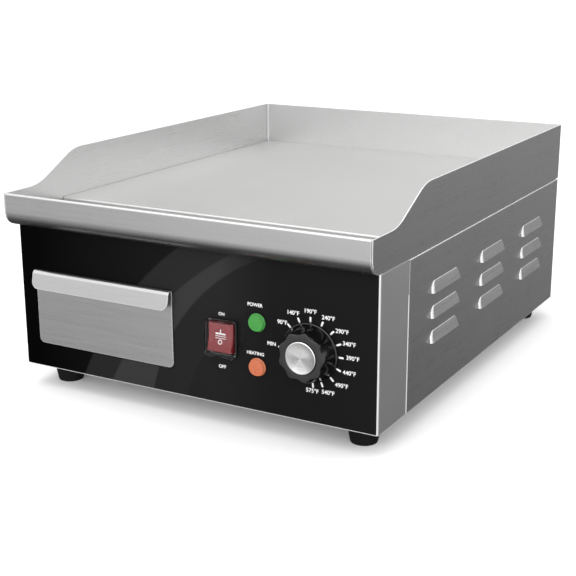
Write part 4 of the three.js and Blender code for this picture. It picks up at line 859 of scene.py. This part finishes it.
# %% Rear panel
rear_low, rear_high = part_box("rear_panel")
rear_width, rear_height = rear_high.x - rear_low.x, rear_high.z - rear_low.z
rear_face = side_high.y
REAR_PITCH = 71 * MM
rear_columns = [rear_width / 2 + n * REAR_PITCH for n in (-1, 0, 1)]
rear_bm = louvred_sheet(rear_width, rear_height, rear_columns, side_rows[:2])
lid = border_edges(rear_bm, lambda co: co.z > rear_height - TOUCH)
bent_edge(rear_bm, lid, X * -FLANGE)
quarter_turn(rear_bm, "Z")
moved(rear_bm, (rear_high.x, rear_face - BODY_SHEET / 2, rear_low.z))
rear_sheet = shown("rear_panel_sheet", rear_bm, front_steel, "rear_panel")
settle(thicken(rear_sheet, BODY_SHEET))
screw_nodes = [n for n in frame["nodes"] if n.startswith("rear_screw")]
screw_holes = [bore(centred(node, rear_face), SCREW_BORE, 3 * MM, 16) for node in screw_nodes]
gland_hole = bore(centred("cord_gland", rear_face), GLAND_BORE, 3 * MM)
soften(combined(rear_sheet, [*screw_holes, gland_hole]), 0.25 * MM, 2, 55)
print("rear panel has", len(rear_columns) * 2, "louvres and", len(screw_nodes), "screws")

# %% [markdown]
# ## Grease drawer
# The drawer's front is one strip. Its top is bent forward and then down again into a flared pull,
# and the free corners are rounded. The bend catches the light as one bright line, so it gets many
# segments.

# %% Drawer front
drawer_low, drawer_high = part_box("drawer_front")
DRAWER_SHEET = 1.0 * MM
REAR_BEND, FRONT_BEND = 1.0 * MM, 3.8 * MM
PULL_REACH, PULL_HEIGHT = 5 * MM, 16.5 * MM
FLARE = math.degrees(math.atan2(3, 13.6))
plate_line = drawer_high.y - DRAWER_SHEET / 2
top_line = drawer_high.z - DRAWER_SHEET / 2
front = Fold((drawer_low.x, plate_line, drawer_low.z), Z, X)
front.run(top_line - drawer_low.z - REAR_BEND).bend(REAR_BEND, 90, 6)
front.run(PULL_REACH - REAR_BEND - FRONT_BEND).bend(FRONT_BEND, 90 - FLARE, 12)
lip_top = front.tip.co.z
front.run((lip_top - (drawer_high.z - PULL_HEIGHT)) / math.cos(math.radians(FLARE)))
lip_foot = front.tip.co.z
drawer_bm = front.widen(X * (drawer_high.x - drawer_low.x))
for foot, radius in ((drawer_low.z, 5 * MM), (lip_foot, 7 * MM)):
    corners = [v for v in drawer_bm.verts if abs(v.co.z - foot) < TOUCH]
    bevelled(drawer_bm, corners, radius, 8, "VERTICES")
drawer_sheet = shown("drawer_front_sheet", welded(drawer_bm), drawer_steel, "drawer_front")
soften(thicken(drawer_sheet, DRAWER_SHEET), 0.22 * MM, 2, 60)
print("drawer pull reaches y", round(drawer_low.y, 4))

# %% [markdown]
# ## Turned pieces
# Lamps, feet, the drain spout and the knob's cap are all round, so each is an outline spun about
# its axis. The outline could be lathed with the Screw modifier, but a bmesh spin leaves a plain
# mesh that the later steps can bevel and cut.

# %% The lathe, and pieces carried over from CAD


def turned(outline, steps=56, closed=False):
    """Spins (radius, height) points about +Z."""
    bm = bmesh.new()
    first = tip = bm.verts.new((outline[0][0], 0, outline[0][1]))
    for radius, height in outline[1:]:
        made = bmesh.ops.extrude_vert_indiv(bm, verts=[tip])["verts"]
        moved(bm, Vector((radius, 0, height)) - tip.co, made)
        tip = made[0]
    if closed:
        bm.edges.new((tip, first))
    bmesh.ops.spin(bm, geom=bm.verts[:] + bm.edges[:], cent=(0, 0, 0), axis=Z, angle=2 * math.pi,
                   steps=steps, use_merge=True, use_duplicate=False)
    return welded(bm)


def set_at(bm, place, degrees=0.0):
    """Turns a piece drawn along +Z about X, then carries it to its place. 90 faces it forwards."""
    turn = Matrix.Rotation(math.radians(degrees), 4, "X")
    bmesh.ops.transform(bm, matrix=Matrix.Translation(place) @ turn, verts=bm.verts[:])
    return bm


def refined(node, material, width=0.3 * MM, segments=2, angle=35, suffix="_finished"):
    """A copy of a CAD node with its triangles merged and its edges broken, to stand for it."""
    bm = bmesh.new()
    bm.from_mesh(bpy.data.objects[node].data)
    bmesh.ops.remove_doubles(bm, verts=bm.verts[:], dist=TOUCH)
    bmesh.ops.dissolve_limit(bm, angle_limit=math.radians(0.6), verts=bm.verts[:],
                             edges=bm.edges[:])
    piece = shown(node + suffix, bm, material, node)
    if width:
        soften(piece, width, segments, angle)
    return piece


# %% [markdown]
# ## Knob
# The moulded grip starts as a circle where it meets its skirt and grows shallow flutes towards the
# front. One ring of points is extruded forward again and again, and each new ring gets its own
# radius and flute depth. A cylinder cut by nine smaller ones would be close, but its flutes would
# end abruptly.

# %% Knob and spun cap
KNOB_STEPS, LOBES = 216, 9
knob_height = panel_y - knob_low.y


def fluted(angle, radius, depth):
    return radius - depth * (0.5 - 0.5 * math.cos(LOBES * angle)) ** 0.8


knob_rings = [                                    # (height, radius, flute depth), in millimetres
    (0.8, 24.4, 0), (0.8, 24.8, 0), (1.0, 25.0, 0), (1.8, 25.0, 0), (2.05, 24.85, 0),
    (2.2, 24.5, 0), (2.3, 24.2, 0), (3.2, 24.0, 0.1), (5.5, 23.4, 0.3), (8.2, 22.8, 0.65),
    (11.0, 22.2, 1.1), (13.6, 21.6, 1.6), (15.4, 21.1, 1.95), (16.0, 20.8, 2.05),
    (16.3, 20.45, 2.1), (16.4, 20.1, 2.05), (16.4, 16.0, 0), (16.4, 14.3, 0), (16.25, 13.98, 0),
    (15.4, 13.9, 0), (15.4, 3.5, 0),
]
knob_bm = bmesh.new()
bmesh.ops.create_circle(knob_bm, cap_ends=True, segments=KNOB_STEPS, radius=0.02)
rim_edges, rim_verts = knob_bm.edges[:], knob_bm.verts[:]
for height, radius, depth in knob_rings:
    for vert in rim_verts:
        angle = math.atan2(vert.co.y, vert.co.x)
        reach = fluted(angle, radius, depth) * MM
        vert.co = Vector((reach * math.cos(angle), reach * math.sin(angle), height * MM))
    if (height, radius, depth) != knob_rings[-1]:
        made = bmesh.ops.extrude_edge_only(knob_bm, edges=rim_edges)["geom"]
        rim_edges = [g for g in made
                     if isinstance(g, bmesh.types.BMEdge) and len(g.link_faces) == 1]
        rim_verts = list({v for e in rim_edges for v in e.verts})
bmesh.ops.contextual_create(knob_bm, geom=rim_edges)
set_at(welded(knob_bm), dial, 90)
knob_black, tree, shader = new_finish("knob_black")
place = object_place(tree)
depth = split(tree, place)["Y"]
knob_front = knob_low.y + 0.15 * MM
faced = ranged(tree, depth, knob_front - 0.1 * MM, knob_front + 0.1 * MM, 1.0, 0.0)
stipple = noise(tree, place, 1800.0, 3.0)
matt_tone = colour_between(tree, stipple, grey(0.012), grey(0.021))
drive(tree, shader, Base_Color=colour_between(tree, faced, grey(0.003), matt_tone),
      Roughness=ranged(tree, faced, 0.0, 1.0, 0.16, 0.5))
bumped(tree, shader, stipple, 0.00001)
shown("temperature_knob_grip", knob_bm, knob_black, "temperature_knob")
cap_low, cap_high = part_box("knob_cap")
cap_radius = (cap_high.x - cap_low.x) / 2
cap_height = cap_high.y - cap_low.y
cap_outline = [
    (0, 0), (cap_radius - 0.2 * MM, 0), (cap_radius, 0.2 * MM),
    (cap_radius, cap_height - 0.5 * MM), (cap_radius - 0.15 * MM, cap_height - 0.15 * MM),
    (cap_radius - 0.5 * MM, cap_height), (cap_radius - 1.0 * MM, cap_height),
    (cap_radius - 1.3 * MM, cap_height - 0.12 * MM), (cap_radius * 0.5, cap_height - 0.2 * MM),
    (0, cap_height - 0.25 * MM),
]
cap_at = Vector((dial.x, cap_high.y, dial.z))
print("knob stands", round(knob_height * 1000, 1), "mm off the panel")

# %% [markdown]
# The cap is spun aluminium, faced on a lathe, so its scratches are circles. Tiny ring-shaped bumps
# spread each reflection across the rings, which gives the bright opposite wedges that turned metal
# shows. Anisotropic shading would do it too.

# %% Spun aluminium
spun_aluminium, tree, shader = new_finish("spun_aluminium", metallic=1.0)
about_axis = add(tree, "ShaderNodeMapping", None, Vector=object_place(tree), Location=-cap_at)
flat_place = vector_maths(tree, "MULTIPLY", about_axis.outputs[0], (1, 0, 1))
distance = vector_maths(tree, "LENGTH", flat_place)
rings, wide_rings = [add(tree, "ShaderNodeTexNoise", {"noise_dimensions": "1D"}, W=distance,
                         Scale=scale, Detail=2.0).outputs["Fac"] for scale in (9000.0, 900.0)]
tone = colour_between(tree, wide_rings, grey(0.9), (0.97, 0.97, 0.96))
outward = vector_maths(tree, "NORMALIZE", flat_place)
# Painted shade: two opposite wedges, near the left and right of the middle, are painted darker, so
# the cap's top and bottom read as bright wedges of reflection.
painted_shade_wedges = None
for angle in (-18, -162):
    spoke = Vector((math.cos(math.radians(angle)), 0, math.sin(math.radians(angle))))
    painted_shade_wedge = ranged(tree, vector_maths(tree, "DOT_PRODUCT", outward, spoke), 0.72, 0.98)
    painted_shade_wedges = painted_shade_wedge if painted_shade_wedges is None else maths(tree, "MAXIMUM", painted_shade_wedges, painted_shade_wedge)
painted_light = colour_between(tree, times(tree, painted_shade_wedges, 0.55), tone, grey(0.36))
drive(tree, shader, Base_Color=painted_light, Roughness=ranged(tree, rings, 0.3, 0.7, 0.16, 0.3))
bumped(tree, shader, rings, 0.00004)
shown("knob_cap_spun", set_at(turned(cap_outline, 96), cap_at, 90), spun_aluminium, "knob_cap")

# %% [markdown]
# ## Lamps
# Each lamp is a short lens with a rim, and its face is slightly domed. The lens stands off the
# panel, so a darker side shows beside its lit face.

# %% Lamp lenses
lens_finish = {"power_lamp": lens_green, "heating_lamp": lens_orange}
for name, (low, high) in lamp_boxes.items():
    radius, reach = (high.x - low.x) / 2, high.y - low.y
    outline = [(0, 0), (radius, 0), (radius, 0.9 * MM), (radius - 0.25 * MM, 1.15 * MM),
               (radius - 0.7 * MM, 1.25 * MM), (radius - 0.8 * MM, reach - 0.7 * MM),
               (radius - 1.0 * MM, reach - 0.35 * MM), (radius - 1.5 * MM, reach - 0.2 * MM),
               (radius - 1.9 * MM, reach - 0.4 * MM), (radius - 2.2 * MM, reach - 0.42 * MM),
               (radius * 0.4, reach - 0.05 * MM), (0, reach)]
    lens = set_at(turned(outline), centred(name + "_lens", high.y), 90)
    shown(name + "_dome", lens, lens_finish[name], name + "_lens")
    refined(name + "_barrel", satin_black, 0)
print("lamps:", list(lens_finish))

# %% [markdown]
# ## Switch
# A black bezel holds the red rocker, and a clear cover keeps grease off it. They are carried over
# from the frame with their edges broken and polished. Only the rocker's face is made a little
# wider, so that less of the bezel shows beside it.

# %% Switch
refined("switch_body", gloss_black, 0.45 * MM, 3)
FACE_DEPTH, WIDENED = 6 * MM, 1.12
rocker = refined("switch_rocker", rocker_red, 0.6 * MM, 3)
for vert in rocker.data.vertices:
    if vert.co.y < switch_low.y + FACE_DEPTH:
        vert.co.x = switch_middle.x + (vert.co.x - switch_middle.x) * WIDENED
refined("switch_cover", clear_cover, 0.5 * MM, 3)

# %% [markdown]
# ## Printing
# The scale, words and switch symbols are generic and printed in white. Text is a curve in Blender,
# so each word is made a mesh and then turned to lie on its face. All the print on the panel
# becomes one piece with a thickness of a few hundredths of a millimetre, so that it never flickers
# against it.

# %% Print on the panel
PRINT = 0.05 * MM


def word(text, size, bold=0.00006):
    """A word as a flat mesh about the origin, in the XY plane."""
    curve = bpy.data.curves.new("word", "FONT")
    curve.body = text
    curve.size = size
    curve.align_x, curve.align_y = "CENTER", "CENTER"
    curve.offset = bold
    curve.extrude = PRINT / 2
    holder = placed("word", curve)
    mesh = evaluated_mesh(holder)
    bpy.data.objects.remove(holder)
    bm = bmesh.new()
    bm.from_mesh(mesh)
    return bm


def bar(length, width):
    """A short printed bar with round ends, along X."""
    bm = block((-length / 2, -width / 2, -PRINT / 2), (length / 2, width / 2, PRINT / 2))
    ends = [e for e in bm.edges if abs(e.verts[0].co.z - e.verts[1].co.z) > PRINT / 2]
    bevelled(bm, ends, width * 0.48, 5)
    return bm


def gather(parts):
    """Joins meshes, each with its own matrix, in one."""
    whole = bmesh.new()
    for bm, matrix in parts:
        bmesh.ops.transform(bm, matrix=matrix, verts=bm.verts[:])
        whole.from_mesh(baked("part", bm))
    return whole


def on_panel(x, z, turn=0.0):
    face = Matrix.Translation((x, panel_y - PRINT / 3, z)) @ Matrix.Rotation(math.pi / 2, 4, "X")
    return face @ Matrix.Rotation(math.radians(turn), 4, "Z")


scale_marks = [                     # (text, its tick's angle, its place from the dial's middle in mm)
    ("90°F", 135, (-25.7, 21.2)), ("140°F", 112.5, (-15.8, 30.6)), ("190°F", 90, (-0.2, 34.1)),
    ("240°F", 67.5, (15.9, 30.9)), ("290°F", 45, (28.1, 21.7)), ("340°F", 22.5, (34.4, 12.3)),
    ("390°F", 0, (37.6, 1.0)), ("440°F", -22.5, (34.8, -11.7)), ("490°F", -45, (28.1, -23.3)),
    ("540°F", -67.5, (16.1, -31.4)), ("575°F", -85, (1.8, -32.3)),
]
TICK_RADIUS = 27.4 * MM
printed = []
for text, angle, (right, up) in scale_marks:
    turn = math.radians(angle)
    tick = Vector((math.cos(turn), math.sin(turn))) * TICK_RADIUS
    printed.append((bar(4.6 * MM, 1.6 * MM), on_panel(dial.x + tick.x, dial.z + tick.y, angle)))
    printed.append((word(text, 4.9 * MM), on_panel(dial.x + right * MM, dial.z + up * MM)))
printed.append((bar(1.5 * MM, 1.5 * MM), on_panel(dial.x - 28.9 * MM, dial.z)))
lamp_x = centred("power_lamp_lens", panel_y).x
words = [("MIN", dial.x - 35.7 * MM, dial.z + 1.4 * MM, 4.6),
         ("ON", switch_middle.x - 2 * MM, dial.z + 19.4 * MM, 3.75),
         ("OFF", switch_middle.x - 2 * MM, dial.z - 26.6 * MM, 4.1),
         ("POWER", lamp_x - 2.4 * MM, dial.z + 32 * MM, 4.1),
         ("HEATING", lamp_x - 2.4 * MM, dial.z - 9.5 * MM, 3.9)]
printed += [(word(text, size * MM), on_panel(x, z)) for text, x, z, size in words]
shown("panel_print", gather(printed), print_white, "control_overlay", stands_for=False)
print("printed", len(scale_marks), "scale marks and", len(words), "words")

# %% [markdown]
# The rocker's own marks, a bar and a ring, lie on its two slanting faces. They belong to the
# rocker, so they tilt with it. The places are worked out from the valley where the two faces meet.

# %% Print on the rocker
TILT = math.radians(7)
pivot = Vector((switch_middle.x, panel_y + 3 * MM, switch_middle.z))


def on_rocker(along, upper):
    """A place on one of the rocker's two faces, `along` from the valley between them."""
    valley = pivot + Matrix.Rotation(-TILT, 3, "X") @ Vector((0, -8 * MM, 0))
    lean = 0.0 if upper else 2 * TILT
    up = Vector((0, math.sin(lean), math.cos(lean)))
    out = Vector((0, -math.cos(lean), math.sin(lean)))
    at = valley + up * along + out * PRINT / 3
    return Matrix.Translation(at) @ Matrix.Rotation(math.pi / 2 - lean, 4, "X")


ring_bm = turned([(1.25 * MM, -PRINT / 2), (2.1 * MM, -PRINT / 2), (2.1 * MM, PRINT / 2),
                  (1.25 * MM, PRINT / 2)], 32, closed=True)
upright = Matrix.Rotation(math.pi / 2, 4, "Z")
marks = [(bar(10 * MM, 1.5 * MM), on_rocker(3.0 * MM, True)),
         (bar(3.4 * MM, 0.9 * MM), on_rocker(5.0 * MM, True) @ upright),
         (bar(10.4 * MM, 0.5 * MM), on_rocker(0.9 * MM, True)),
         (bar(10.4 * MM, 0.5 * MM), on_rocker(-0.9 * MM, False)),
         (ring_bm, on_rocker(-4.0 * MM, False))]
shown("rocker_print", gather(marks), print_white, "switch_rocker", stands_for=False)

# %% [markdown]
# ## Feet, screws and the cord gland
# The feet are tapered rubber with a rolled lower edge and a recess for a screw. Screw heads get a
# cross recess, cut as two crossed slots.

# %% Feet and screws
for node in [n for n in frame["nodes"] if n.startswith("foot_") and "screw" not in n]:
    low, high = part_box(node)
    top = high.z - low.z - 1 * MM
    outline = [(2.6 * MM, 6 * MM), (8.6 * MM, 6 * MM), (9 * MM, 0.6 * MM), (9.6 * MM, 0),
               (10.6 * MM, 0), (11.3 * MM, 0.35 * MM), (11.7 * MM, 1.1 * MM),
               (14.6 * MM, top - 2.2 * MM), (15 * MM, top - 1.2 * MM), (14.9 * MM, top - 0.3 * MM),
               (14.5 * MM, top), (10 * MM, top), (10 * MM, top + 1 * MM), (2.6 * MM, top + 1 * MM)]
    at = Vector(((low.x + high.x) / 2, (low.y + high.y) / 2, low.z))
    shown(node + "_rubber", set_at(turned(outline, 48, closed=True), at), foot_rubber, node)

for node in [n for n in frame["nodes"] if "_screw_" in n]:
    low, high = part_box(node)
    middle = (low + high) / 2
    rear = node.startswith("rear")
    screw = settle(refined(node, zinc_steel, 0.55 * MM, 3))
    slots = []
    for wide, deep in ((2.4, 0.45), (0.45, 2.4)):
        if rear:
            corner = Vector((wide, 0, deep)) * MM
            slots.append(block(Vector((middle.x, high.y - 1.2 * MM, middle.z)) - corner,
                               Vector((middle.x, high.y + 1 * MM, middle.z)) + corner))
        else:
            corner = Vector((wide, deep, 0)) * MM
            slots.append(block(Vector((middle.x, middle.y, low.z - 1 * MM)) - corner,
                               Vector((middle.x, middle.y, low.z + 1.2 * MM)) + corner))
    combined(screw, slots)
    soften(screw, 0.08 * MM, 1, 50)
print("feet and screws done")

# %% [markdown]
# ## Inside and underneath
# What is inside shows when the drawer is out or the griddle is turned over. These pieces keep
# their CAD shape with broken edges, and each gets a finish of its own.

# %% Inner pieces
finish_of = {
    "cord_gland": satin_black, "gland_locknut": satin_black, "base_plate": zinc_steel,
    "drawer_tray": drawer_steel, "drawer_rail_left": zinc_steel, "drawer_rail_right": zinc_steel,
    "heat_shield": zinc_steel, "thermostat_body": satin_black, "thermostat_shaft": zinc_steel,
    "terminal_block": porcelain, "bulb_clip": zinc_steel, "element_clamp_bar_1": zinc_steel,
    "element_clamp_bar_2": zinc_steel,
}
for node, finish in finish_of.items():
    refined(node, finish)
for node in [n for n in frame["nodes"] if "_nut_" in n]:
    refined(node, zinc_steel, 0.4 * MM)
round_pieces = {
    "heating_element": sheath, "capillary_and_bulb": copper, "lead_supply_to_switch": sleeve_glass,
    "lead_switch_to_thermostat": sleeve_glass, "lead_supply_to_element": sleeve_glass,
}
for node, finish in round_pieces.items():
    refined(node, finish, 0)

spout_radius = (spout_high.x - spout_low.x) / 2
spout_depth = spout_high.z - spout_low.z
spout_outline = [(9 * MM, 0), (10 * MM, 0), (10 * MM, spout_depth - 1.9 * MM),
                 (10.6 * MM, spout_depth - 1.1 * MM), (spout_radius, spout_depth - 1.0 * MM),
                 (spout_radius, spout_depth - 0.35 * MM), (spout_radius - 0.4 * MM, spout_depth),
                 (10.4 * MM, spout_depth), (9.4 * MM, spout_depth - 0.5 * MM),
                 (9 * MM, spout_depth - 1.4 * MM)]
spout_at = Vector((drain_middle.x, drain_middle.y, spout_low.z))
spout = set_at(turned(spout_outline, closed=True), spout_at)
shown("drain_spout_turned", spout, front_steel, "drain_spout")

wool_low, wool_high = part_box("insulation_blanket")
wool = block(wool_low, wool_high)
bmesh.ops.subdivide_edges(wool, edges=wool.edges[:], cuts=30, use_grid_fill=True)
centre = (wool_low + wool_high) / 2
for vert in wool.verts:
    pull = 0.5 + 0.5 * math.sin(vert.co.x * 190) * math.sin(vert.co.y * 170 + 1)
    vert.co.z += (centre.z - vert.co.z) * 0.22 * pull
shown("insulation_blanket_wool", welded(wool), mineral_fibre, "insulation_blanket")

# %% [markdown]
# ## Light
# Brushed steel shows its surroundings, so the room matters more than the lamps. The world is white
# to the camera, while reflections see a soft room that is bright in front and overhead, and darker
# behind to the right, as with a large soft box and a black flag. The floor is hidden from
# reflections, since a white floor would wash out every upright panel.

# %% Studio
floor_bm = bmesh.new()
bmesh.ops.create_grid(floor_bm, x_segments=1, y_segments=1, size=60.0)
floor = placed("studio_floor", baked("studio_floor", floor_bm))
floor.visible_glossy = False
paper, tree, shader = new_finish("paper_floor", roughness=0.9)
grain = noise(tree, object_place(tree), 300.0, 2.0)
drive(tree, shader, Base_Color=colour_between(tree, grain, grey(0.86), grey(0.9)),
      Emission_Color=(1, 1, 1, 1), Emission_Strength=0.09)
floor.data.materials.append(paper)

world = bpy.data.worlds.new("studio")
scene.world = world
world.use_nodes = True
tree = world.node_tree
background = tree.nodes["Background"]
direction = tree.nodes.new("ShaderNodeTexCoord").outputs["Generated"]


def towards(x, y):
    """How nearly a direction points this way: 1 straight along it, and 0 at right angles."""
    return vector_maths(tree, "DOT_PRODUCT", direction, Vector((x, y, 0)).normalized())


parts = split(tree, direction)
across, height = parts["X"], parts["Z"]


def between(share, first, second):
    """first where share is 0 and second where it is 1."""
    kept = maths(tree, "SUBTRACT", 1.0, share)
    return plus(tree, times(tree, kept, first), times(tree, share, second))


behind_right = ranged(tree, towards(0.62, 0.78), 0.3, 0.8)
flag_low = ranged(tree, height, -0.4, -0.16, 0.1, 0.28)
flag = between(ranged(tree, height, 0.1, 0.24), flag_low, 1.8)
before_left = ranged(tree, towards(-0.5, -0.86), 0.3, 0.8)
left_low = times(tree, ranged(tree, across, -0.66, -0.4, 0.5, 1.05),
                 ranged(tree, height, -0.34, -0.25, 0.62, 1.0))
left_high = ranged(tree, height, 0.15, 0.45, 1.1, 1.6)
left = between(ranged(tree, height, -0.08, 0.06), left_low, left_high)
before_right = ranged(tree, towards(0.72, -0.69), 0.5, 0.95)
rest_of_room = between(before_right, ranged(tree, height, -0.14, 0.04, 0.12, 0.84), 1.7)
room = between(behind_right, between(before_left, rest_of_room, left), flag)
room = times(tree, room, ranged(tree, height, -0.8, -0.5, 0.22, 1.0))
to_camera = tree.nodes.new("ShaderNodeLightPath").outputs["Is Camera Ray"]
mix = tree.nodes.new("ShaderNodeMix")
tree.links.new(to_camera, mix.inputs["Factor"])
tree.links.new(room, mix.inputs["A"])
mix.inputs["B"].default_value = 1.0
tree.links.new(mix.outputs["Result"], background.inputs["Color"])


def soft_box(name, place, aim, size, watts):
    data = bpy.data.lights.new(name, "AREA")
    data.shape = "RECTANGLE"
    data.size, data.size_y = size
    data.energy = watts
    lamp = placed(name, data)
    lamp.location = place
    lamp.rotation_mode = "QUATERNION"
    lamp.rotation_quaternion = (Vector(aim) - Vector(place)).to_track_quat("-Z", "Y")


soft_box("overhead", (-0.4, -0.3, 2.2), (0, 0, 0), (2.4, 2.4), 26)
soft_box("front_fill", (0.3, -2.2, 1.1), (0, 0, 0.1), (2.2, 1.0), 12)
scene.view_settings.view_transform = "Standard"
